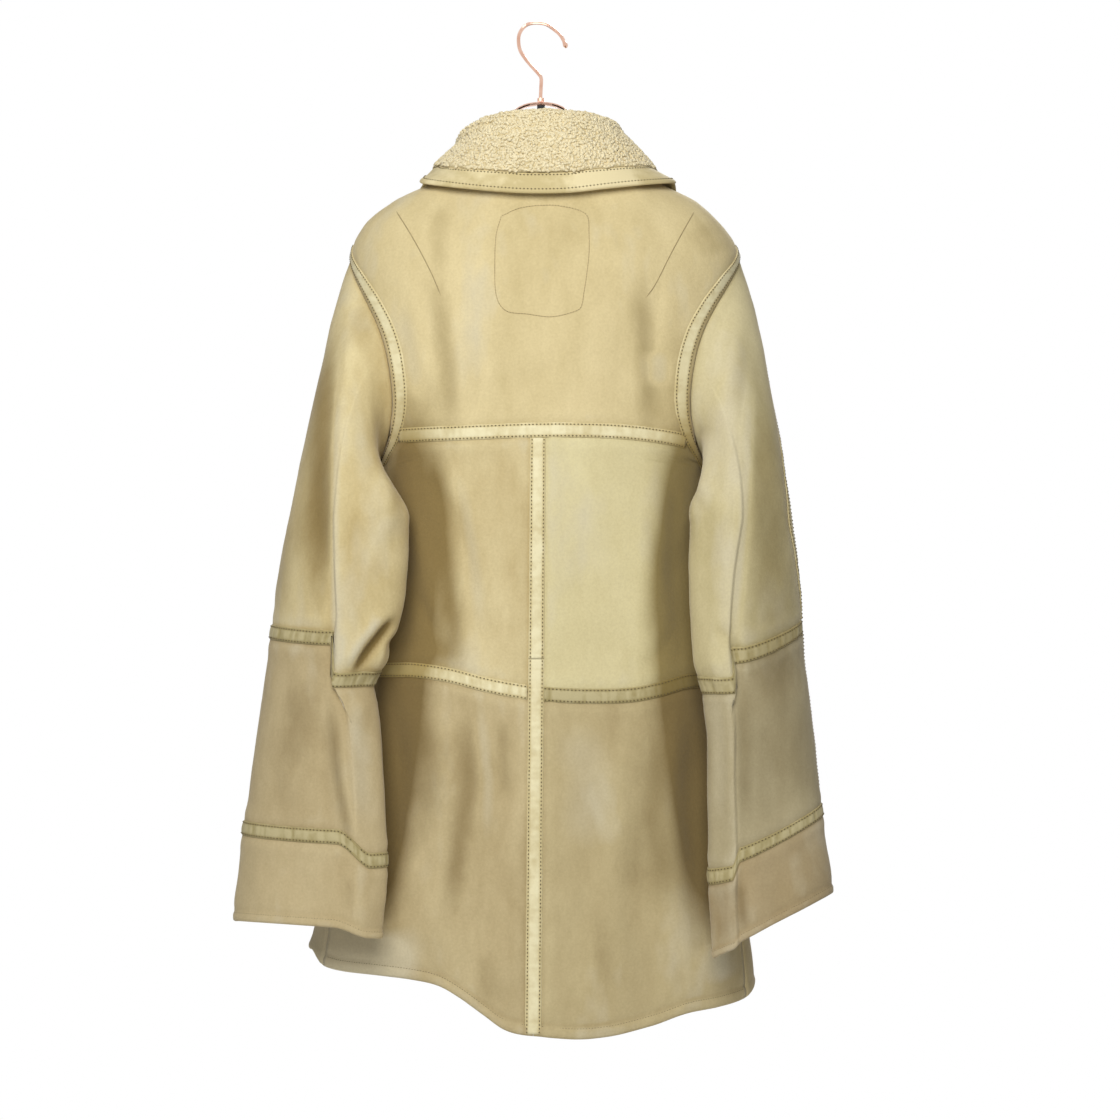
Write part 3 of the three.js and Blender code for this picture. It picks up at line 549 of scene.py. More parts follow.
sleeveShades = {  # painted shade and light, as in bodyShades; they are weaker on the side away from the back
    "left": [
        ([(-206, -290), (-214, -380), (-214, -480), (-212, -590)], 18, -0.95),
        ([(-246, -480), (-258, -590)], 12, -0.35),
        ([(-178, -260), (-172, -330), (-162, -390), (-148, -445)], 13, -0.4),
        ([(-197, -330), (-195, -450), (-195, -560), (-192, -680)], 5, 1.0),
        ([(-178, -300), (-172, -400), (-164, -496)], 12, 0.4),
        ([(-176, -540), (-184, -600)], 12, 0.45),
        ([(-138, -590), (-152, -606), (-165, -622), (-180, -643)], 3.4, -2.4),
        ([(-150, -586), (-163, -602), (-176, -620), (-187, -640)], 3.5, 1.1),
        ([(-160, -650), (-152, -640)], 8, -0.5),
        ([(-143, -535), (-137, -477), (-151, -410)], 8, -0.35),
        ([(-188, -604), (-192, -634)], 4, 0.9),
        ([(-178, -670), (-172, -737), (-166, -795)], 11, 0.5),
        ([(-200, -660), (-192, -740), (-182, -800), (-170, -820)], 6, -0.7),
        ([(-226, -640), (-236, -740)], 20, -0.35),
        ([(-181, -834), (-181, -872)], 6, -0.2),
    ],
    "right": [
        ([(214, -330), (218, -430), (222, -520), (226, -620), (230, -700)], 30, -0.6),
        ([(203, -340), (199, -430), (194, -500), (187, -570), (183, -640)], 6, 1.0),
        ([(169, -284), (162, -381), (158, -477)], 9, 0.3),
        ([(200, -300), (188, -400)], 10, -0.3),
        ([(168, -640), (171, -728), (172, -800)], 9, 0.35),
        ([(193, -640), (196, -740), (196, -800)], 9, -0.6),
        ([(230, -600), (246, -780)], 24, -0.35),
        ([(190, -840), (196, -890)], 6, -0.5),
        ([(174, -830), (180, -910)], 16, -0.4),
    ],
}


def alongLine(x, z, points):
    # distance to a line of points, and how far along it the nearest place is, from 0 to 1
    best, share = np.full(x.shape, 1e9), np.zeros(x.shape)
    lengths = [math.hypot(x1 - x0, z1 - z0) for (x0, z0), (x1, z1) in zip(points, points[1:])]
    before = 0
    for (x0, z0), (x1, z1), length in zip(points, points[1:], lengths):
        dx, dz = x1 - x0, z1 - z0
        t = np.clip(((x - x0) * dx + (z - z0) * dz) / length**2, 0, 1)
        distance = np.hypot(x - x0 - t * dx, z - z0 - t * dz)
        share = np.where(distance < best, (before + t * length) / sum(lengths), share)
        best = np.minimum(best, distance)
        before += length
    return best, share


def sumOfLines(points, lines):
    # every line fades out toward both its ends
    x, z = points[..., 0], points[..., 2]
    total = np.zeros(x.shape)
    for line, width, amount in lines:
        distance, share = alongLine(x, z, line)
        total += amount * bell(distance, width) * smoothStep(0.15 + 2.8 * np.minimum(share, 1 - share))
    return total


waveSets = {}


def waves(points, shortest, longest, seed, stretch=1.0):
    # smooth unevenness from a sum of waves; stretch makes it longer up and down
    if (shortest, longest, seed) not in waveSets:
        source = np.random.default_rng(seed)
        direction = unit(source.normal(size=(26, 3)))
        length = source.uniform(shortest, longest, 26)
        turns = direction / length[:, None] * 2 * math.pi
        waveSets[(shortest, longest, seed)] = (turns, source.uniform(0, 2 * math.pi, 26))
    vectors, phases = waveSets[(shortest, longest, seed)]
    flat = points.reshape(-1, 3) * np.array((1, 1, 1 / stretch))
    return (np.sin(flat @ vectors.T + phases).sum(1) / math.sqrt(26)).reshape(points.shape[:-1])


loopAngles = np.arange(0, 360, 5)
loops = {}
for armSide in (-1, 1):
    loopZ, loopTurn = armhole(loopAngles)
    loops[armSide] = bodyPoint(armSide * (90 - loopTurn), loopZ)


def fromArmhole(points):
    # distance to the nearer armhole seam
    flat = points.reshape(-1, 3)
    best = np.full(len(flat), 1e9)
    for place in np.concatenate(list(loops.values())):
        best = np.minimum(best, ((flat - place) ** 2).sum(1))
    return np.sqrt(best).reshape(points.shape[:-1])


def facesBack(phi):
    return smoothStep((cosD(phi) + 0.1) / 0.2)


def bodyLift(phi, z, points):
    back = facesBack(phi)
    lift = sumOfLines(points, backCreases) * back + sumOfLines(points, frontCreases) * (1 - back)
    lift += 0.8 * waves(points, 70, 150, 1, 1.8) + 0.3 * waves(points, 26, 60, 2, 1.4)
    return (lift + 0.07 * waves(points, 8, 18, 3)) * smoothStep(fromArmhole(points) / 16)


def sleeveFacesBack(theta):
    return smoothStep((sinD(theta) + 0.15) / 0.4)


def sleeveLift(side, theta, v, points):
    word = sideWord(side)
    back = sleeveFacesBack(theta)
    shifted = points + np.array((6 * side, 0, 14))
    lift = sumOfLines(points, sleeveCreases[word]) * back
    lift += 0.6 * sumOfLines(shifted, sleeveCreases[word]) * (1 - back) + ridgeFold(side, theta, v)
    lift += 0.8 * waves(points, 60, 130, 5, 1.8) + 0.3 * waves(points, 24, 55, 6, 1.3)
    return (lift + 0.07 * waves(points, 8, 18, 3)) * smoothStep(v / 0.1)


def ridgeFold(side, theta, v):
    # the inner half of the sleeve hangs over the outer one along the ridge
    word = sideWord(side)
    z = heightOf(v)
    d = (np.mod(theta, 360) - readTable(ridgeAngle[word], z)[0]) * 1.05
    height = readTable(ridgeHeight[word], np.where(v < 1, capEnd + (1 - v) * 180, z))[0]
    return height * (smoothStep((d + 2) / 3) * bell(np.maximum(d, 0), 20) - 0.4 * bell(d + 8, 6))


def bodyShade(phi, points):
    back = facesBack(phi)
    # painted shade and light on the back; the front gets a weaker mirrored copy of the same painted shade
    swapped = points * np.array((-1, 1, 1))
    return sumOfLines(points, bodyShades) * back + 0.3 * sumOfLines(swapped, bodyShades) * (1 - back)


def sleeveShade(side, theta, points):
    word = sideWord(side)
    back = sleeveFacesBack(theta)
    return sumOfLines(points, sleeveShades[word]) * mix(0.6, 1, back)


# Meshes
def linkPiece(name, mesh, materials):
    for material in materials:
        mesh.materials.append(material)
    mesh.polygons.foreach_set("use_smooth", np.ones(len(mesh.polygons), bool))
    piece = bpy.data.objects.new(name, mesh)
    bpy.context.collection.objects.link(piece)
    return piece


def buildShell(name, outer, inner, around, marks, uv, materials):
    # a closed wall between two grids of points, millimetres in, metres out
    rows, cols = outer.shape[:2]
    verts = np.concatenate([outer.reshape(-1, 3), inner.reshape(-1, 3)]) * mm
    j, i = np.meshgrid(np.arange(rows - 1), np.arange(cols if around else cols - 1), indexing="ij")
    k = (i + 1) % cols
    a, b, c, d = j * cols + i, (j + 1) * cols + i, (j + 1) * cols + k, j * cols + k
    outside = np.stack([a, b, c, d], -1).reshape(-1, 4)
    n = rows * cols
    inside = np.stack([a, d, c, b], -1).reshape(-1, 4) + n
    rim = []
    i0 = np.arange(cols if around else cols - 1)
    i1 = (i0 + 1) % cols
    rim.append(np.stack([i0, i1, i1 + n, i0 + n], -1))
    last = (rows - 1) * cols
    rim.append(np.stack([i0 + last, i0 + last + n, i1 + last + n, i1 + last], -1))
    if not around:
        j0 = np.arange(rows - 1) * cols
        j1 = j0 + cols
        rim.append(np.stack([j0, j0 + n, j1 + n, j1], -1))
        e = cols - 1
        rim.append(np.stack([j0 + e, j1 + e, j1 + e + n, j0 + e + n], -1))
    rim = np.concatenate(rim)
    faces = np.concatenate([outside, inside, rim])
    corner = verts[faces]
    volume = np.einsum("ij,ij->i", corner[:, 0], np.cross(corner[:, 1], corner[:, 2])).sum()
    volume += np.einsum("ij,ij->i", corner[:, 0], np.cross(corner[:, 2], corner[:, 3])).sum()
    if volume < 0:
        faces = faces[:, ::-1]
    mesh = bpy.data.meshes.new(name)
    mesh.vertices.add(len(verts))
    mesh.vertices.foreach_set("co", verts.ravel())
    mesh.loops.add(faces.size)
    mesh.loops.foreach_set("vertex_index", faces.ravel())
    mesh.polygons.add(len(faces))
    mesh.polygons.foreach_set("loop_start", np.arange(0, faces.size, 4))
    mesh.polygons.foreach_set("loop_total", np.full(len(faces), 4))
    mesh.update(calc_edges=True)
    if len(materials) > 1:
        index = np.zeros(len(faces), int)
        index[len(outside):len(outside) + len(inside)] = 1
        mesh.polygons.foreach_set("material_index", index)
    layer = mesh.uv_layers.new(name="cloth")
    flat = np.concatenate([uv.reshape(-1, 2), uv.reshape(-1, 2)]) * mm
    layer.data.foreach_set("uv", flat[faces.ravel()].ravel())
    for key, values in marks.items():
        attribute = mesh.attributes.new(key, "FLOAT", "POINT")
        attribute.data.foreach_set("value", np.concatenate([values.ravel(), values.ravel()]))
    return linkPiece(name, mesh, materials)


def placeOnFrame(piece, slot, *nodes):
    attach(piece, "root")
    if nodes:
        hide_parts(*nodes)


def wallProfile(edgeDistance, thickness):
    # full thickness inside, rounded off toward a free edge
    r = thickness / 2
    d = np.clip(edgeDistance, 0.02, r)
    return thickness * np.sqrt(1 - (1 - d / r) ** 2)


def spread(count, length, fineAt=(True, True)):
    # shares from 0 to 1, with close steps beside the free edges
    near = np.array([0.0, 0.25, 0.8, 1.7, 3.0]) / length
    middle = np.linspace(0, 1, count + 1)
    low = near if fineAt[0] else np.array([0.0])
    high = 1 - near[::-1] if fineAt[1] else np.array([1.0])
    middle = middle[(middle > low[-1] + 0.3 / count) & (middle < high[0] - 0.3 / count)]
    return np.concatenate([low, middle, high])


def gridUv(points):
    across = np.linalg.norm(np.diff(points, axis=1), axis=-1).mean(0)
    along = np.linalg.norm(np.diff(points, axis=0), axis=-1).mean(1)
    u = np.concatenate([[0], np.cumsum(across)])
    v = np.concatenate([[0], np.cumsum(along)])
    return np.stack(np.meshgrid(u, v), -1)


# Materials
def addNode(tree, kind, **values):
    node = tree.nodes.new(kind)
    for key, value in values.items():
        if hasattr(node, key):
            setattr(node, key, value)
        else:
            node.inputs[key.replace("_", " ")].default_value = value
    return node


def noise(tree, vector, scale, detail=3.0, rough=0.55):
    node = addNode(tree, "ShaderNodeTexNoise", Scale=scale, Detail=detail, Roughness=rough)
    tree.links.new(vector, node.inputs["Vector"])
    return node.outputs["Fac"]


def remap(tree, value, low, high, toLow=0.0, toHigh=1.0):
    node = addNode(tree, "ShaderNodeMapRange", clamp=True)
    for key, number in (("From Min", low), ("From Max", high), ("To Min", toLow), ("To Max", toHigh)):
        node.inputs[key].default_value = number
    tree.links.new(value, node.inputs["Value"])
    return node.outputs["Result"]


def blendColour(tree, factor, first, second, mode="MIX"):
    node = addNode(tree, "ShaderNodeMix", data_type="RGBA", blend_type=mode)
    tree.links.new(factor, node.inputs["Factor"])
    for value, socket in ((first, node.inputs["A"]), (second, node.inputs["B"])):
        if isinstance(value, tuple):
            socket.default_value = value + (1,)
        else:
            tree.links.new(value, socket)
    return node.outputs["Result"]


def addUp(tree, first, second, weight=1.0):
    node = addNode(tree, "ShaderNodeMath", operation="MULTIPLY_ADD")
    tree.links.new(second, node.inputs[0])
    node.inputs[1].default_value = weight
    tree.links.new(first, node.inputs[2])
    return node.outputs[0]


def markOf(tree, name):
    # a value that buildShell wrote at every point of the mesh
    return addNode(tree, "ShaderNodeAttribute", attribute_name=name).outputs["Fac"]


def darker(colour, shares):
    return tuple(c * share for c, share in zip(colour, shares))


def startMaterial(name, roughness, stretch=1.0):
    material = bpy.data.materials.new(name)
    material.use_nodes = True
    tree = material.node_tree
    shader = tree.nodes["Principled BSDF"]
    shader.inputs["Roughness"].default_value = roughness
    place = addNode(tree, "ShaderNodeTexCoord").outputs["Object"]
    turn = addNode(tree, "ShaderNodeMapping")
    turn.inputs["Scale"].default_value = (1, 1, stretch)
    tree.links.new(place, turn.inputs["Vector"])
    return material, tree, shader, turn.outputs["Vector"], place


def bumpFrom(tree, shader, height, strength, distance):
    node = addNode(tree, "ShaderNodeBump", Strength=strength, Distance=distance)
    tree.links.new(height, node.inputs["Height"])
    tree.links.new(node.outputs["Normal"], shader.inputs["Normal"])


suedeLook = {
    "roughness": 0.92,
    "stretch": 0.45,                # marks of the skin are longer up and down
    "shadow": (0.42, 0.365, 0.24),  # share of the dark tone that colours stains and the painted shade in folds
    "wornShare": 0.62,
    "stainShare": 0.3,
    "paintedShadeShare": 0.94,
    "paintedLightAndWearShare": 0.6,
    "grainShare": 0.14,
    "grainTone": (0.25, 0.17, 0.08),
    "sheen": 0.28,
    "bump": 0.32,
    "bumpHeight": 0.0007,
}
# the strips' dark tone and its share are the painted shade that follows the coat's folds
stripLook = {"roughness": 0.74, "shadow": (0.5, 0.42, 0.2), "paintedShadeShare": 0.85, "sheen": 0.12,
             "bump": 0.25, "bumpHeight": 0.0006}


def suede(name, light, dark, shift=0.0, patchy=0.5, wornAndLitTone=(0.66, 0.60, 0.43)):
    # napped leather: cloudy tone, brushed streaks, painted shade in folds and creases, pale ridges that
    # are partly worn suede and partly painted highlight, fine nap
    material, tree, shader, stretched, place = startMaterial(
        name, suedeLook["roughness"], suedeLook["stretch"])
    moved = addNode(tree, "ShaderNodeMapping")
    moved.inputs["Location"].default_value = (shift, shift * 1.7, shift * 0.6)
    tree.links.new(stretched, moved.inputs["Vector"])
    vector = moved.outputs["Vector"]
    clouds = noise(tree, vector, 9, 4, 0.6)
    patches = noise(tree, vector, 26, 4, 0.62)
    brushed = noise(tree, vector, 75, 3, 0.6)
    tone = addUp(tree, clouds, patches, 0.55)
    tone = addUp(tree, tone, brushed, 0.25)
    # the relief mark darkens troughs, seam grooves and hem grooves and lightens crests: painted shade and
    # light; on crests it also adds a little wear
    relief = markOf(tree, "relief")
    tone = addUp(tree, tone, relief, 0.045)
    colour = blendColour(tree, remap(tree, tone, 0.9 - 0.28 * patchy, 0.9 + 0.28 * patchy), dark, light)
    wornMask = noise(tree, vector, 15, 3, 0.7)
    wornMask = addUp(tree, wornMask, relief, 0.03)
    colour = blendColour(tree, remap(tree, wornMask, 0.54, 0.76, 0, suedeLook["wornShare"]), colour, wornAndLitTone)
    stain = noise(tree, vector, 6.5, 5, 0.65)
    shaded = darker(dark, suedeLook["shadow"])
    stained = remap(tree, stain, 0.55, 0.73, 0, suedeLook["stainShare"])
    colour = blendColour(tree, stained, colour, shaded)
    # the shade mark, broken up by the cloud noise: below zero it mixes in painted shade, above zero a
    # pale tone that is partly wear and partly painted light
    shade = markOf(tree, "shade")
    broken = addUp(tree, shade, addUp(tree, patches, clouds, 1.0), 0.35)
    paintedShade = remap(tree, broken, 0.3, -0.75, 0, suedeLook["paintedShadeShare"])
    colour = blendColour(tree, paintedShade, colour, shaded)
    paintedLightAndWear = remap(tree, broken, 0.45, 1.2, 0, suedeLook["paintedLightAndWearShare"])
    colour = blendColour(tree, paintedLightAndWear, colour, wornAndLitTone)
    grain = noise(tree, place, 420, 3, 0.6)
    grained = remap(tree, grain, 0.3, 0.75, 0, suedeLook["grainShare"])
    colour = blendColour(tree, grained, colour, suedeLook["grainTone"], "MULTIPLY")
    tree.links.new(colour, shader.inputs["Base Color"])
    shader.inputs["Specular IOR Level"].default_value = 0.2
    shader.inputs["Sheen Weight"].default_value = suedeLook["sheen"]
    shader.inputs["Sheen Roughness"].default_value = 0.45
    shader.inputs["Sheen Tint"].default_value = (1.0, 0.93, 0.8, 1)
    nap = noise(tree, place, 1500, 2, 0.7)
    pores = noise(tree, place, 260, 4, 0.65)
    bumpFrom(tree, shader, addUp(tree, nap, pores, 1.2), suedeLook["bump"], suedeLook["bumpHeight"])
    return material


def stripSuede(name, light, dark):
    # the smooth binding strips: paler, tighter grain; the relief mark paints shade in the dips of the
    # puckers and along the stitch rows, and the shade mark paints the shade of the coat's folds
    material, tree, shader, stretched, place = startMaterial(name, stripLook["roughness"])
    tone = addUp(tree, noise(tree, stretched, 32, 4, 0.6), noise(tree, stretched, 140, 3, 0.6), 0.4)
    relief = markOf(tree, "relief")
    tone = addUp(tree, tone, relief, 0.5)
    colour = blendColour(tree, remap(tree, tone, 0.52, 0.9), dark, light)
    shade = markOf(tree, "shade")
    shaded = darker(dark, stripLook["shadow"])
    paintedShade = remap(tree, shade, -0.1, -1.2, 0, stripLook["paintedShadeShare"])
    colour = blendColour(tree, paintedShade, colour, shaded)
    tree.links.new(colour, shader.inputs["Base Color"])
    shader.inputs["Specular IOR Level"].default_value = 0.28
    shader.inputs["Sheen Weight"].default_value = stripLook["sheen"]
    creased = addUp(tree, noise(tree, place, 700, 3, 0.6), noise(tree, place, 190, 3, 0.6), 1.0)
    bumpFrom(tree, shader, creased, stripLook["bump"], stripLook["bumpHeight"])
    return material


def woolPile(name, light, dark, curl=330):
    material, tree, shader, stretched, place = startMaterial(name, 1.0)
    cells = addNode(tree, "ShaderNodeTexVoronoi", Scale=curl, Randomness=1.0)
    tree.links.new(place, cells.inputs["Vector"])
    distance = cells.outputs["Distance"]
    # cells lighter in the middle and darker at their edges: painted shade between the curls
    tone = addUp(tree, remap(tree, distance, 0.1, 0.75, 1, 0), noise(tree, place, 55, 3, 0.6), 0.9)
    colour = blendColour(tree, remap(tree, tone, 0.45, 1.3), dark, light)
    tree.links.new(colour, shader.inputs["Base Color"])
    shader.inputs["Sheen Weight"].default_value = 0.35
    shader.inputs["Sheen Roughness"].default_value = 0.5
    shader.inputs["Specular IOR Level"].default_value = 0.15
    fluff = addUp(tree, remap(tree, distance, 0, 0.8, 1, 0), noise(tree, place, 1300, 2, 0.7), 0.5)
    bumpFrom(tree, shader, fluff, 0.6, 0.0012)
    return material


def metal(name, colour, dark, roughness, metallic=1.0):
    material, tree, shader, stretched, place = startMaterial(name, roughness)
    tone = noise(tree, place, 90, 3, 0.6)
    mixed = blendColour(tree, remap(tree, tone, 0.35, 0.7), colour, dark)
    tree.links.new(mixed, shader.inputs["Base Color"])
    shader.inputs["Metallic"].default_value = metallic
    scratches = noise(tree, place, 900, 2, 0.6)
    bumpFrom(tree, shader, scratches, 0.06, 0.0003)
    return material


def threadMaterial():
    material, tree, shader, stretched, place = startMaterial("waxedThread", 0.6)
    tone = noise(tree, place, 800, 2, 0.6)
    colour = blendColour(tree, remap(tree, tone, 0.35, 0.65), (0.075, 0.053, 0.018), (0.15, 0.108, 0.042))
    tree.links.new(colour, shader.inputs["Base Color"])
    bumpFrom(tree, shader, noise(tree, place, 2600, 2, 0.5), 0.3, 0.0003)
    return material


def hornMaterial():
    material, tree, shader, stretched, place = startMaterial("horn", 0.32)
    tone = addUp(tree, noise(tree, stretched, 60, 4, 0.6), noise(tree, place, 240, 3, 0.6), 0.4)
    colour = blendColour(tree, remap(tree, tone, 0.5, 0.9), (0.16, 0.09, 0.04), (0.46, 0.31, 0.15))
    tree.links.new(colour, shader.inputs["Base Color"])
    bumpFrom(tree, shader, noise(tree, place, 500, 2, 0.5), 0.08, 0.0003)
    return material


panelTones = {  # light and dark tone of each panel's skin, place in the pattern, patchiness
    "yoke": ((0.76, 0.64, 0.36), (0.60, 0.49, 0.25), 0.0, 0.9),
    "backLeft": ((0.72, 0.61, 0.345), (0.55, 0.435, 0.215), 1.3, 0.8),
    "backRight": ((0.75, 0.67, 0.39), (0.63, 0.545, 0.29), 2.1, 0.9),
    "skirtLeft": ((0.63, 0.52, 0.295), (0.46, 0.36, 0.185), 3.7, 0.7),
    "skirtRight": ((0.62, 0.52, 0.29), (0.47, 0.375, 0.195), 4.4, 0.8),
    "front": ((0.68, 0.57, 0.32), (0.54, 0.43, 0.22), 5.2, 0.8),
    "sleeveLeftUpper": ((0.73, 0.62, 0.345), (0.56, 0.44, 0.21), 6.8, 0.7),
    "sleeveLeftLower": ((0.57, 0.465, 0.265), (0.44, 0.34, 0.175), 7.5, 0.8),
    "sleeveRightUpper": ((0.65, 0.57, 0.33), (0.50, 0.425, 0.22), 8.3, 0.8),
    "sleeveRightLower": ((0.49, 0.42, 0.255), (0.39, 0.325, 0.185), 9.1, 0.8),
    "cuffLeft": ((0.62, 0.51, 0.295), (0.49, 0.385, 0.205), 10.4, 0.9),
    "cuffRight": ((0.50, 0.40, 0.235), (0.40, 0.305, 0.16), 11.2, 0.9),
}
skins = {key: suede("suede_" + key, *tone) for key, tone in panelTones.items()}
stripSkin = stripSuede("bindingSuede", (0.82, 0.745, 0.475), (0.63, 0.53, 0.28))
bandSkin = stripSuede("collarBandSuede", (0.76, 0.655, 0.385), (0.57, 0.47, 0.235))
# a darker copy of the binding, used for the right waist strip and for the elbow and cuff strips
stripSkinDark = stripSuede("bindingSuedeDark", (0.51, 0.44, 0.24), (0.36, 0.295, 0.13))
# the collar's base wool is darker than the curls laid over it: painted shade where it shows between the
# curls
collarWool = woolPile("collarWool", (0.82, 0.70, 0.43), (0.60, 0.49, 0.26))
liningWool = woolPile("liningWool", (0.80, 0.70, 0.50), (0.55, 0.44, 0.27), 260)
curlWool = woolPile("curlWool", (0.89, 0.79, 0.53), (0.74, 0.63, 0.38), 420)
# the darts' colour: painted shadow of the dart's fold
seamShadow = stripSuede("dartShadowSuede", (0.44, 0.35, 0.18), (0.30, 0.23, 0.11))
outlineSkin = stripSuede("outlineSuede", (0.62, 0.50, 0.27), (0.50, 0.39, 0.20))
copper = metal("copperPlate", (0.88, 0.59, 0.47), (0.74, 0.43, 0.32), 0.12)
blackMetal = metal("blackPaint", (0.012, 0.012, 0.014), (0.03, 0.03, 0.034), 0.35, 0.2)
thread = threadMaterial()
horn = hornMaterial()
print("materials ready")

# Body panels
panelMaking = {"step": 3.2, "frontStep": 5.0, "puff": 0.6, "dip": 0.7, "hemRoll": 1.3, "hemGroove": 12.5,
               "gap": 0.15}
gapAngle = np.degrees(panelMaking["gap"] / 110)


def seamSwell(distance):
    # the skin sinks under a sewn strip and swells beside it
    return panelMaking["puff"] * bell(distance - 15, 6) - panelMaking["dip"] * bell(distance, 8)


# painted shade: a dark line just beside a sewn strip or seam, and painted light on the swell beyond it,
# read as colour through the relief mark
def seamShadeMark(distance):
    return 1.2 * bell(distance - 13, 5) - 3.0 * bell(distance - 7.6, 1.8)


def settleGrid(leftPhi, rightPhi, top, bottom, s, t):
    s, t = np.meshgrid(s, t)
    z = np.full(s.shape, -400.0)
    for _ in range(70):    # small steps, because the sides turn sharply under the armholes
        phi = mix(leftPhi(z), rightPhi(z), s)
        z = mix(z, mix(top(phi), bottom(phi), t), 0.25)
    return phi, z


def clothWall(name, points, normals, lift, wall, thickness, around, marks, skin):
    middle = points + normals * (lift - wall / 2)[..., None]
    outer = middle + normals * (thickness / 2)[..., None]
    inner = middle - normals * (thickness / 2)[..., None]
    return buildShell(name, outer, inner, around, marks, gridUv(points), (skin, liningWool))


def bodyCloth(name, node, leftPhi, rightPhi, top, bottom, size, skin, seams=(), layer=0, hem=False,
              step=None, freeSides=(False, False)):
    width, height = size
    step = step or panelMaking["step"]
    s = spread(int(width / step), width, freeSides)
    t = spread(int(height / step), height, (False, hem))
    phi, z = settleGrid(leftPhi, rightPhi, top, bottom, s, t)
    points, normals = bodySurface(phi, z, layer)
    lift = bodyLift(phi, z, points)
    relief = lift.copy()
    for distanceTo in seams:
        lift += seamSwell(np.abs(distanceTo(phi, z)))
        relief += seamShadeMark(np.abs(distanceTo(phi, z)))
    fromLoop = fromArmhole(points)
    relief += seamShadeMark(fromLoop - 7)
    lift += panelMaking["puff"] * bell(fromLoop - 20, 6)
    thickness = np.full(phi.shape, coat["wall"])
    edge = np.full(phi.shape, 99.0)
    acrossMm = s[None, :] * width * np.ones_like(phi)
    if hem:
        edge = (1 - t)[:, None] * height * np.ones_like(phi)
        fromHem = z - hemZ(phi)
        thickness += 2 * panelMaking["hemRoll"] * bell(fromHem - 6, 6)
        lift -= 1.2 * bell(fromHem - panelMaking["hemGroove"], 2.2)
        # painted light on the rolled hem and painted shade in the groove above it
        relief += 1.5 * bell(fromHem - 5, 4) - 3 * bell(fromHem - panelMaking["hemGroove"], 2.0)
    if freeSides[0]:
        edge = np.minimum(edge, acrossMm)
    if freeSides[1]:
        edge = np.minimum(edge, width - acrossMm)
    thickness = thickness * wallProfile(edge, coat["wall"]) / coat["wall"]
    marks = {"relief": relief, "shade": bodyShade(phi, points)}
    piece = clothWall(name, points, normals, lift, coat["wall"], thickness, False, marks, skins[skin])
    placeOnFrame(piece, "suede", node)
    return piece


def nearYoke(phi, z):
    return z - yokeZ(phi)


def nearWaist(phi, z):
    return z - waistZ(phi)


def nearCentre(phi, z):
    return np.radians(phi - centreBack(z)) * 106


def sideEdge(side, facing=1):
    return lambda z: backSide(z, side, facing) - side * facing * gapAngle


def centreEdge(side):
    return lambda z: centreBack(z) + side * gapAngle


def above(line):
    return lambda phi: line(phi) + panelMaking["gap"]


def below(line):
    return lambda phi: line(phi) - panelMaking["gap"]


yoke = bodyCloth("backYoke", "back_yoke", sideEdge(-1), sideEdge(1), below(neckZ), above(yokeZ),
                 (400, 292), "yoke", (nearYoke,))

backHalves = [  # side, word, skin above the waist, skin below it, flat width and area of the panel
    (-1, "left", "backLeft", "skirtLeft", 0.205, 0.051),
    (1, "right", "backRight", "skirtRight", 0.225, 0.0555),
]
for side, word, skin, skirtSkin, flatWidth, flatArea in backHalves:
    edges = (sideEdge(-1), centreEdge(-1)) if side < 0 else (centreEdge(1), sideEdge(1))
    panel = bodyCloth("backPanel_" + word, "back_panel_" + word, *edges, below(yokeZ), above(waistZ),
                      (200, 246), skin, (nearYoke, nearWaist, nearCentre))
    skirt = bodyCloth("backSkirt_" + word, "back_skirt_" + word, *edges, below(waistZ), hemZ,
                      (225, 322), skirtSkin, (nearWaist, nearCentre), hem=True)

frontLeft = bodyCloth("front_left", "front_left", lambda z: np.full_like(z, -164.0), sideEdge(-1, -1),
                      below(neckZ), hemZ, (250, 780), "front", hem=True,
                      step=panelMaking["frontStep"], freeSides=(True, False))
frontRight = bodyCloth("front_right", "front_right", sideEdge(1, -1), lambda z: np.full_like(z, 196.0),
                       below(neckZ), hemZ, (320, 780), "front", layer=1, hem=True,
                       step=panelMaking["frontStep"], freeSides=(False, True))
print("body panels ready")

# Sleeves
sleeveMaking = {"turn": 3.2, "step": 3.4, "hemRoll": 1.1, "hemGroove": 11.5, "tuckIn": 4.0,
                "ridgeStep": 0.9, "firstV": 0.006, "gap": 0.0015}


def outerSeamAngle(side, v):
    return readTable(outerSeam, v)[0 if side < 0 else 1]


def degreeSize(side, theta, v):
    return np.linalg.norm(sleevePoint(side, theta + 2, v) - sleevePoint(side, theta - 2, v), axis=-1) / 4


def roundSleeve(side, v, step):
    # turns round the sleeve, closer together along the ridge and following it
    word = sideWord(side)
    middle = readTable(ridgeAngle[word], -605.0)[0]
    turns = np.arange(0, 360, step)
    fine = middle + np.arange(-5, 6) * sleeveMaking["ridgeStep"]
    turns = turns[np.abs(turns - middle) > 5]
    turns = np.sort(np.concatenate([turns, fine]))
    ridge = readTable(ridgeAngle[word], heightOf(v))[0]
    turns, ridge = np.broadcast_arrays(turns[None, :], np.atleast_1d(ridge)[:, None])
    return turns + (ridge - middle) * bell(turns - middle, 55)


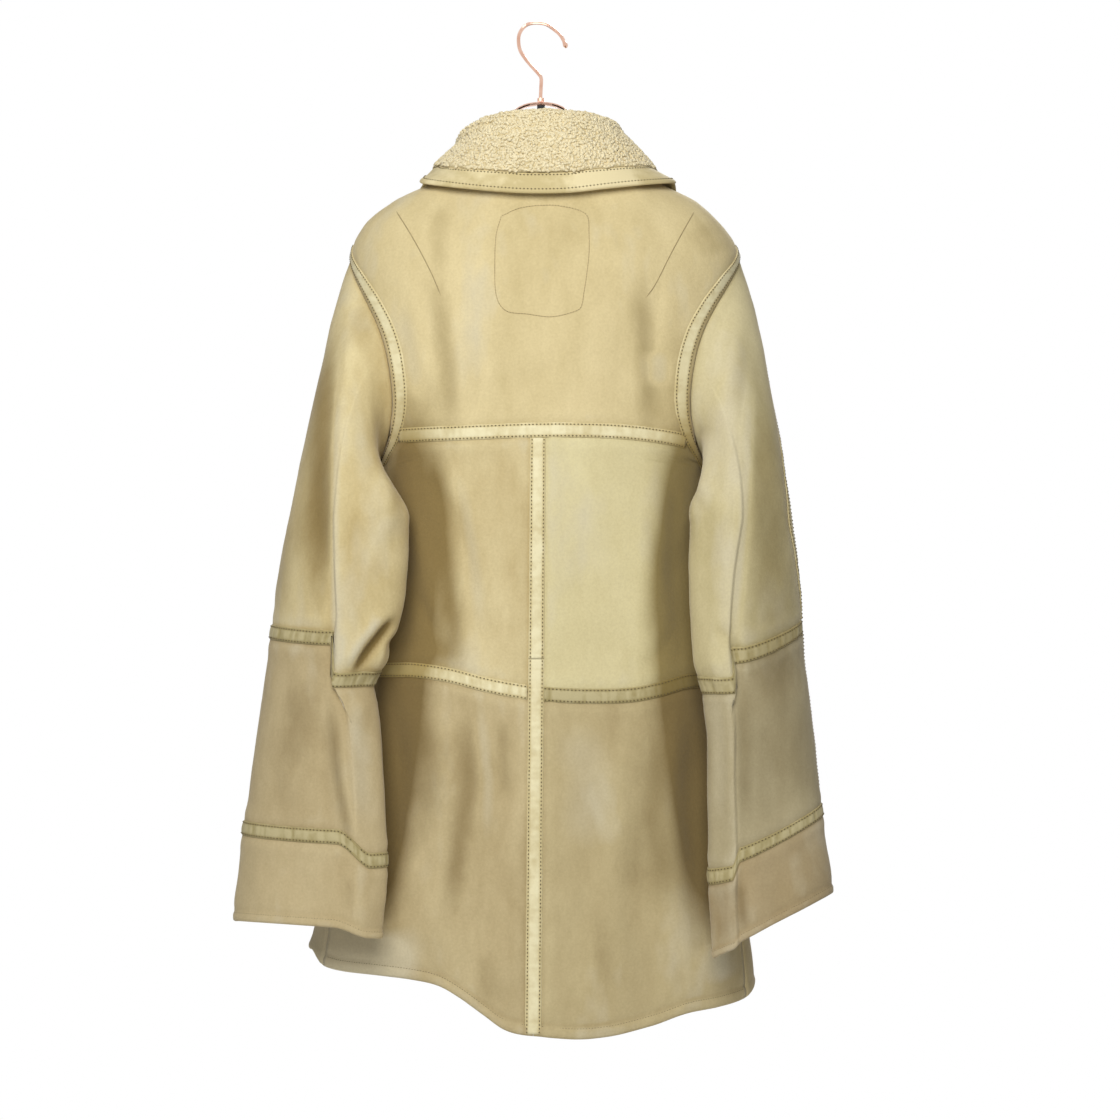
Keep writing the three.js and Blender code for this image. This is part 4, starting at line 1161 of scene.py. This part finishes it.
def sleeveTube(name, nodes, side, fromV, toV, skin, seams=(), hem=False):
    length = (toV - fromV) * 100 if fromV >= 1 else (toV - 1) * 100 + 250
    v = mix(fromV, toV, spread(int(length / sleeveMaking["step"]), length, (False, hem)))
    theta = roundSleeve(side, v, sleeveMaking["turn"])
    v = v[:, None] * np.ones_like(theta)
    points, normals = sleeveSurface(side, theta, v)
    lift = sleeveLift(side, theta, v, points)
    relief = lift.copy()
    for seam in seams:
        lift += seamSwell(np.abs(v - seam) * 100)
        relief += seamShadeMark(np.abs(v - seam) * 100)
    turn = np.mod(theta - outerSeamAngle(side, v) + 180, 360) - 180
    fromSeam = np.abs(turn) * degreeSize(side, theta, v)
    sewn = smoothStep((v - 0.1) / 0.1) * smoothStep((cuffV - v) / 0.05)
    lift += 0.6 * seamSwell(fromSeam) * sewn
    relief += seamShadeMark(fromSeam) * sewn
    if fromV < 0.1:
        # painted shade along the armhole seam, where the sleeve goes in under the body
        relief -= 2.5 * bell(v * 260 - 1, 4)
    thickness = np.full(v.shape, coat["sleeveWall"])
    if hem:
        fromHem = (toV - v) * 100
        thickness += 2 * sleeveMaking["hemRoll"] * bell(fromHem - 5, 5)
        lift -= 1.0 * bell(fromHem - sleeveMaking["hemGroove"], 2.0)
        # painted light on the rolled cuff hem and painted shade in the groove above it
        relief += 1.5 * bell(fromHem - 4.5, 4) - 3 * bell(fromHem - sleeveMaking["hemGroove"], 2.0)
        thickness = thickness * wallProfile(fromHem, coat["sleeveWall"]) / coat["sleeveWall"]
    marks = {"relief": relief, "shade": sleeveShade(side, theta, points)}
    if fromV < 0.1:    # the seam allowance turns in under the body's edge
        along = unit(points[1] - points[0])
        turned = points[0] - along * sleeveMaking["tuckIn"] - normals[0] * 3.2
        points = np.concatenate([turned[None], points])
        normals, lift, thickness = [np.concatenate([a[:1], a]) for a in (normals, lift, thickness)]
        marks = {key: np.concatenate([a[:1], a]) for key, a in marks.items()}
        thickness[0] = 1.6
    wall = coat["sleeveWall"]
    piece = clothWall(name, points, normals, lift, wall, thickness, True, marks, skins[skin])
    placeOnFrame(piece, "suede", *nodes)
    return piece


for side, word, skinWord in ((-1, "left", "Left"), (1, "right", "Right")):
    seamGap = sleeveMaking["gap"]
    halves = ["sleeve_%s_upper_%s" % (word, face) for face in ("back", "front")]
    upper = sleeveTube("sleeveUpper_" + word, halves, side, sleeveMaking["firstV"], elbowV - seamGap,
                       "sleeve%sUpper" % skinWord, (elbowV,))
    forearm = sleeveTube("forearm_" + word, ["sleeve_%s_forearm" % word], side, elbowV + seamGap,
                         cuffV - seamGap, "sleeve%sLower" % skinWord, (elbowV, cuffV))
    cuff = sleeveTube("cuff_" + word, ["sleeve_%s_cuff" % word], side, cuffV + seamGap, hemV[word],
                      "cuff" + skinWord, (cuffV,), hem=True)
print("sleeves ready")

# Strips sewn over the seams
stripMaking = {
    "across": 13,
    "step": 2.4,
    "dome": 0.22,
    "pucker": 0.2,
    "rowInset": 1.7,            # from the strip's edge to its stitches
    "lift": -0.15,
    "armNear": 1.3,             # armhole strip, degrees from the seam to its two edges
    "armFar": 6.4,
    "armRise": 2.2,             # mm for each of those degrees at its top and bottom
    "outerStart": 0.08,         # outer strips: first place, and gap to the strips they meet
    "outerGap": 0.075,
}
seamRows = []     # line of the stitches, its outward direction, whether steep places stay bare
stripHalf = coat["stripWidth"] / 2


def sewnStrip(name, node, points, normals, shade, around=False, pucker=1.0, lift=None, skin=None,
              skipSteep=False):
    # points run across the strip first, then along it
    across, count = points.shape[:2]
    side = np.linspace(-1, 1, across)[:, None]
    inset = 1 - stripMaking["rowInset"] / stripHalf
    middleLine = points[across // 2]
    along = np.concatenate([[0], np.cumsum(np.linalg.norm(np.diff(middleLine, axis=0), axis=-1))])
    total = along[-1] + (np.linalg.norm(middleLine[0] - middleLine[-1]) if around else 0)
    source = np.random.default_rng(sum(map(ord, name)))
    ripple = np.zeros((1, count))
    for length in (5.5, 8.0, 11.5, 17.0):
        fitted = total / max(round(total / length), 1)
        ripple += np.sin(along * 2 * math.pi / fitted + source.uniform(0, 6.28))[None] / 2.2
    ripple = ripple * (0.6 + 0.4 * np.cos(side * math.pi))
    rowDip = bell(np.abs(side) - inset, 0.12)
    bump = stripMaking["pucker"] * pucker * ripple + stripMaking["dome"] * (1 - side**2) - 0.35 * rowDip
    bump = bump * np.ones((across, count))
    thickness = wallProfile((1 - np.abs(side)) * stripHalf, coat["stripThickness"]) * np.ones((1, count))
    lift = stripMaking["lift"] if lift is None else lift
    middle = points + normals * (lift + coat["stripThickness"] / 2 + bump)[..., None]
    outer = middle + normals * (thickness / 2)[..., None]
    inner = middle - normals * (thickness / 2)[..., None]
    # the relief mark gives painted shade along the stitch rows and in the pucker dips, and painted light
    # on the domed middle
    piece = buildShell(name, outer, inner, around, {"relief": bump - 0.5 * rowDip, "shade": shade},
                       gridUv(points), (skin or stripSkin,))
    placeOnFrame(piece, "suede_strip", node)
    for where in (-inset, inset):
        at = (where + 1) / 2 * (across - 1)
        low = min(int(at), across - 2)
        line = mix(outer[low], outer[low + 1], at - low)
        facing = unit(mix(normals[low], normals[low + 1], at - low))
        if around:
            line, facing = np.concatenate([line, line[:1]]), np.concatenate([facing, facing[:1]])
        seamRows.append((line, facing, skipSteep))
    return piece


def acrossStrip():
    return np.linspace(-1, 1, stripMaking["across"])[:, None] * stripHalf


def bodyStripPoints(phi, z):
    phi, z = np.broadcast_arrays(phi, z)
    points, normals = bodySurface(phi, z)
    raised = points + normals * (bodyLift(phi, z, points) - 0.5)[..., None]
    return raised, normals, bodyShade(phi, points)


def stripAlongLine(line, fromPhi, toPhi, length):
    phi = np.linspace(fromPhi, toPhi, int(length / stripMaking["step"]))[None, :]
    return bodyStripPoints(phi, line(phi) + acrossStrip())


def stripDownCentre(top, bottom):
    z = np.linspace(top, bottom, int((top - bottom) / stripMaking["step"]))[None, :]
    return bodyStripPoints(centreBack(z) + np.degrees(acrossStrip() / 107), z)


def stripAroundArmhole(side):
    theta = np.arange(240)[None, :] * 1.5
    width = np.linspace(stripMaking["armNear"], stripMaking["armFar"], stripMaking["across"])[:, None]
    z, turn = armhole(theta)
    end = smoothStep((np.abs(cosD(theta)) - 0.8) / 0.2)
    turn = turn + np.sign(sinD(theta)) * width * (1 - end)
    z = z + np.sign(cosD(theta)) * stripMaking["armRise"] * width * end
    return bodyStripPoints(side * (90 - turn), z)


def sleeveStripPoints(side, theta, v):
    theta, v = np.broadcast_arrays(theta, v)
    points, normals = sleeveSurface(side, theta, v)
    raised = points + normals * (sleeveLift(side, theta, v, points) - 0.4)[..., None]
    return raised, normals, sleeveShade(side, theta, points)


def stripAroundSleeve(side, seam):
    theta = roundSleeve(side, np.array([seam]), 2.25)
    return sleeveStripPoints(side, theta, seam + acrossStrip() / 100 * 0.97)


def stripDownSleeve(side, fromV, toV):
    length = abs(toV - fromV) * (180 if fromV < 1 else 100)
    v = np.linspace(fromV, toV, int(length / stripMaking["step"]))[None, :]
    theta = outerSeamAngle(side, v)
    return sleeveStripPoints(side, theta + acrossStrip() / degreeSize(side, theta, v), v)


sewnStrip("yokeStrip", "yoke_strip", *stripAlongLine(yokeZ, -63.6, 64.6, 300), pucker=0.7)
sewnStrip("waistStrip_left", "waist_strip_left", *stripAlongLine(waistZ, -81.5, -6.4, 190), pucker=1.3)
sewnStrip("waistStrip_right", "waist_strip_right", *stripAlongLine(waistZ, 1.6, 82.5, 200), pucker=1.3,
          skin=stripSkinDark)
sewnStrip("centreStrip_upper", "centre_strip_upper", *stripDownCentre(-417.6, -629.8), pucker=0.5)
sewnStrip("centreStrip_lower", "centre_strip_lower", *stripDownCentre(-630.2, -989.5), pucker=0.7)
outerStart, outerGap = stripMaking["outerStart"], stripMaking["outerGap"]
for side, word in ((-1, "left"), (1, "right")):
    sewnStrip("armholeStrip_" + word, "armhole_strip_" + word, *stripAroundArmhole(side), around=True,
              pucker=0.9, lift=0.4)
    for label, seam in (("elbow", elbowV), ("cuff", cuffV)):
        sewnStrip(label + "Strip_" + word, "%s_strip_%s" % (label, word), *stripAroundSleeve(side, seam),
                  around=True, pucker=2.2, skin=stripSkinDark, skipSteep=True)
    sewnStrip("outerStrip_%s_upper" % word, "outer_strip_%s_upper" % word,
              *stripDownSleeve(side, outerStart, elbowV - outerGap), pucker=1.5, lift=0.3)
    sewnStrip("outerStrip_%s_lower" % word, "outer_strip_%s_lower" % word,
              *stripDownSleeve(side, elbowV + outerGap, cuffV - outerGap), pucker=1.5, lift=0.3)
print("strips ready")

# Collar
collarMaking = {"lastPhi": 166, "columns": 200, "standHalf": 2.2, "leafHalf": 3.4, "bandHalf": 2.3}


def collarSheet(name, node, slotName, v, half, waviness, edge, materials):
    last = collarMaking["lastPhi"]
    phi, v = np.meshgrid(np.linspace(-last, last, collarMaking["columns"]), v)
    points, normals = collarSurface(phi, v)
    relief = waviness * (0.5 * waves(points, 9, 18, 11) + 0.5 * waves(points, 20, 45, 12))
    relief += 0.5 * waves(points, 60, 120, 13)
    free = np.minimum((last - np.abs(phi)) * 1.6, edge)
    thickness = wallProfile(free, 2 * half * np.ones_like(phi))
    outer = points + normals * (thickness / 2 + relief * 0.6)[..., None]
    inner = points - normals * (thickness / 2)[..., None]
    marks = {"relief": relief, "shade": 0 * relief}
    piece = buildShell(name, outer, inner, False, marks, gridUv(points), materials)
    placeOnFrame(piece, slotName, node)
    return piece, outer, normals, v


collarV = np.linspace(0, bandStart - 0.003, 54)
collarHalf = np.where(collarV < 0.3, collarMaking["standHalf"], collarMaking["leafHalf"])
collarHalf = np.convolve(np.pad(collarHalf, 3, mode="edge"), np.ones(7) / 7, "valid")[:, None]
collar, woolPoints, woolNormals, woolV = collarSheet(
    "collar", "collar", "shearling_wool", collarV, collarHalf, 1.0, 99.0, (collarWool, skins["yoke"]))

bandV = mix(bandStart + 0.003, 1, spread(10, 18, (False, True)))
bandEdge = ((1 - bandV) / (1 - bandStart) * 16)[:, None]
band, bandPoints, bandNormals, _ = collarSheet(
    "collarBand", "collar_binding", "suede_strip", bandV, collarMaking["bandHalf"], 0.2, bandEdge,
    (bandSkin,))
for share in (0.14, 0.72):
    row = int(share * (len(bandV) - 1))
    seamRows.append((bandPoints[row, 4:-4], bandNormals[row, 4:-4], False))


def copyMany(name, base, places, axes, sizes, materials):
    # one modelled shape, copied to many places in a single mesh
    baseVerts = np.array([v.co for v in base.data.vertices])
    quads = np.array([list(p.vertices) for p in base.data.polygons if len(p.vertices) == 4])
    triangles = np.array([list(p.vertices) for p in base.data.polygons if len(p.vertices) == 3])
    count, each = len(places), len(baseVerts)
    verts = places[:, None] + sum(
        sizes[:, None, k:k + 1] * baseVerts[None, :, k:k + 1] * axes[k][:, None] for k in range(3))
    offsets = (np.arange(count) * each)[:, None, None]
    faces = (quads[None] + offsets).reshape(-1, 4).tolist()
    if len(triangles):
        faces += (triangles[None] + offsets).reshape(-1, 3).tolist()
    mesh = bpy.data.meshes.new(name)
    mesh.from_pydata((verts.reshape(-1, 3) * mm).tolist(), [], faces)
    bpy.data.objects.remove(base)
    return linkPiece(name, mesh, materials)


def modelOnce(maker, **settings):
    bpy.ops.object.select_all(action="DESELECT")
    maker(**settings)
    return bpy.context.object


# Curls of wool over the collar: soft locks lying every way
curlWork = {"pitch": 3.2, "length": 2.5, "width": 1.7, "height": 1.15}


def curlsOver(name, lowV, highV, seed):
    source = np.random.default_rng(seed)
    rowsIn = np.where((woolV[:, 0] >= lowV) & (woolV[:, 0] <= highV))[0]
    grid, facing = woolPoints[rowsIn], woolNormals[rowsIn]
    across = np.linalg.norm(np.diff(grid, axis=1), axis=-1).mean() * (grid.shape[1] - 1)
    along = np.linalg.norm(np.diff(grid, axis=0), axis=-1).mean() * (grid.shape[0] - 1)
    nCols, nRows = int(across / curlWork["pitch"]), int(along / curlWork["pitch"])
    u = (np.arange(nCols)[None, :] + source.uniform(0, 1, (nRows, nCols))) / nCols
    v = (np.arange(nRows)[:, None] + source.uniform(0, 1, (nRows, nCols))) / nRows
    u, v = u * (grid.shape[1] - 1.001), v * (grid.shape[0] - 1.001)
    u, v = u.ravel(), v.ravel()
    i, j = u.astype(int), v.astype(int)
    place = (grid[j, i] + (grid[j, i + 1] - grid[j, i]) * (u - i)[:, None]
             + (grid[j + 1, i] - grid[j, i]) * (v - j)[:, None])
    normal = facing[j, i]
    upright = unit(normal + 0.16 * source.normal(size=normal.shape))
    side = unit(np.cross(upright, source.normal(size=normal.shape)))
    size = np.array((curlWork["width"], curlWork["length"], curlWork["height"]))
    size = size * source.uniform(0.72, 1.2, (len(place), 1))
    place = place + normal * source.uniform(-0.25, 0.45, (len(place), 1))
    base = modelOnce(bpy.ops.mesh.primitive_uv_sphere_add, segments=7, ring_count=4, radius=1)
    piece = copyMany(name, base, place, (side, np.cross(upright, side), upright), size, (curlWool,))
    placeOnFrame(piece, "shearling_wool")
    print(name, len(place), "curls")


curlsOver("collarCurls_leaf", 0.42, bandStart, 21)
curlsOver("collarCurls_stand", 0.02, 0.42, 22)
print("collar ready")

# Darts and the outline sewn on the yoke
markWork = {"dartRadius": 0.55, "outlineRadius": 0.4, "step": 2.0}
darts = [[(-142, -192), (-124, -222), (-106, -257), (-97, -279)],
         [(151, -192), (125, -241), (111, -270), (103, -282)]]
outline = [(-38, -201), (-43, -221), (-44, -257), (-43, -277), (-39, -289), (-31, -296), (-14, -298),
           (11, -301), (33, -296), (39, -292), (42, -277), (45, -257), (47, -238), (47, -218),
           (46, -202), (40, -196), (25, -192), (6, -190), (-19, -193), (-38, -201)]


def lineOnBack(points):
    # a smooth line laid on the yoke's outside through points (x, z)
    rough = np.array(points, float)
    length = np.concatenate([[0], np.cumsum(np.linalg.norm(np.diff(rough, axis=0), axis=-1))])
    at = np.linspace(0, length[-1], int(length[-1] / markWork["step"]))
    x, z = readTable(np.column_stack([length, rough]), at)
    low, high = np.full_like(x, -89.0), np.full_like(x, 89.0)
    for _ in range(30):     # halving finds the angle whose x is asked for
        phi = (low + high) / 2
        beyond = ringRadius(phi, z) * sinD(phi) > x
        low, high = np.where(beyond, low, phi), np.where(beyond, phi, high)
    surfacePoints, normals = bodySurface(phi, z)
    lift = bodyLift(phi, z, surfacePoints)
    return surfacePoints + normals * lift[:, None], normals


def sewnLine(name, line, facing, radius, material, sides=6):
    ahead = unit(np.gradient(line, axis=0))
    across = unit(np.cross(facing, ahead))
    taper = np.minimum(1, np.minimum(np.arange(len(line)), np.arange(len(line))[::-1]) / 3 + 0.1)
    turn = np.arange(sides) * 2 * math.pi / sides
    ring = (np.cos(turn)[None, :, None] * across[:, None]
            + np.sin(turn)[None, :, None] * facing[:, None] * 0.7)
    verts = (line[:, None] + ring * (radius * taper)[:, None, None]).reshape(-1, 3) * mm
    faces = []
    for j in range(len(line) - 1):
        for i in range(sides):
            k = (i + 1) % sides
            faces.append((j * sides + i, j * sides + k, (j + 1) * sides + k, (j + 1) * sides + i))
    faces.append(tuple(range(sides))[::-1])
    faces.append(tuple((len(line) - 1) * sides + i for i in range(sides)))
    mesh = bpy.data.meshes.new(name)
    mesh.from_pydata(verts.tolist(), [], faces)
    placeOnFrame(linkPiece(name, mesh, (material,)), "suede")


# each dart is a thin tube in the painted shadow colour
for number, dart in enumerate(darts, 1):
    sewnLine("dart_%d" % number, *lineOnBack(dart), markWork["dartRadius"], seamShadow)
outlineLine, outlineFacing = lineOnBack(outline)
sewnLine("yokeOutline", outlineLine, outlineFacing, markWork["outlineRadius"], outlineSkin)
print("darts ready")

# Stitches, one modelled thread laid along every sewn row
stitchWork = {
    "strips": (1.8, 3.6, 0.62),     # length, pitch and radius of the stitches
    "hems": (1.9, 2.8, 0.26),
    "outline": (1.6, 2.8, 0.2),
    "raise": 0.3,
    "hemUp": 10.5,
    "cuffUp": 8.5,
    "steepest": 0.68,               # rows round a sleeve stay bare where they climb more than this
}


def hemRow():
    phi = np.linspace(-74, 76, 400)
    z = hemZ(phi) + stitchWork["hemUp"]
    points, normals = bodySurface(phi, z)
    return points + normals * (bodyLift(phi, z, points) - 0.1)[:, None], normals, False


def cuffRow(side):
    theta = np.linspace(0, 360, 300)
    v = np.full_like(theta, hemV[sideWord(side)] - stitchWork["cuffUp"] / 100)
    points, normals = sleeveSurface(side, theta, v)
    return points + normals * (sleeveLift(side, theta, v, points) - 0.1)[:, None], normals, True


def layStitches(name, rows, length, pitch, radius):
    places, axesX, axesZ = [], [], []
    for line, facing, skipSteep in rows:
        run = np.concatenate([[0], np.cumsum(np.linalg.norm(np.diff(line, axis=0), axis=-1))])
        count = int(run[-1] / pitch)
        at = (np.arange(count) + 0.5) * run[-1] / count
        middle, ahead, behind, normal = [
            np.stack([np.interp(at + shift, run, data[:, k]) for k in range(3)], -1)
            for shift, data in ((0, line), (1.2, line), (-1.2, line), (0, facing))]
        toward = unit(ahead - behind)
        kept = np.abs(toward[:, 2]) < (stitchWork["steepest"] if skipSteep else 2)
        places.append((middle + unit(normal) * stitchWork["raise"])[kept])
        axesX.append(toward[kept])
        axesZ.append(unit(normal)[kept])
    places, axesX, axesZ = map(np.concatenate, (places, axesX, axesZ))
    base = modelOnce(bpy.ops.mesh.primitive_uv_sphere_add, segments=6, ring_count=4, radius=1)
    size = np.tile((radius, radius * 0.9, length / 2), (len(places), 1))
    axes = (unit(np.cross(axesZ, axesX)), axesZ, axesX)
    piece = copyMany(name, base, places, axes, size, (thread,))
    placeOnFrame(piece, "suede_strip")
    print(name, len(places), "stitches")


outlineRow = (outlineLine + outlineFacing * 0.3, outlineFacing, False)
layStitches("seamStitches", seamRows, *stitchWork["strips"])
layStitches("hemStitches", [hemRow(), cuffRow(-1), cuffRow(1)], *stitchWork["hems"])
layStitches("yokeStitches", [outlineRow], *stitchWork["outline"])

# Hanger and buttons keep their solids and get their own finish
finishes = {"hanger_hook": copper, "hanger_ferrule": copper, "hanger_bar": copper,
            "hanger_nut": blackMetal}
finishes.update({"button_%d" % number: horn for number in range(1, 6)})
for node, material in finishes.items():
    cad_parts[node].data.materials.clear()
    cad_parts[node].data.materials.append(material)
print("hanger and buttons ready")
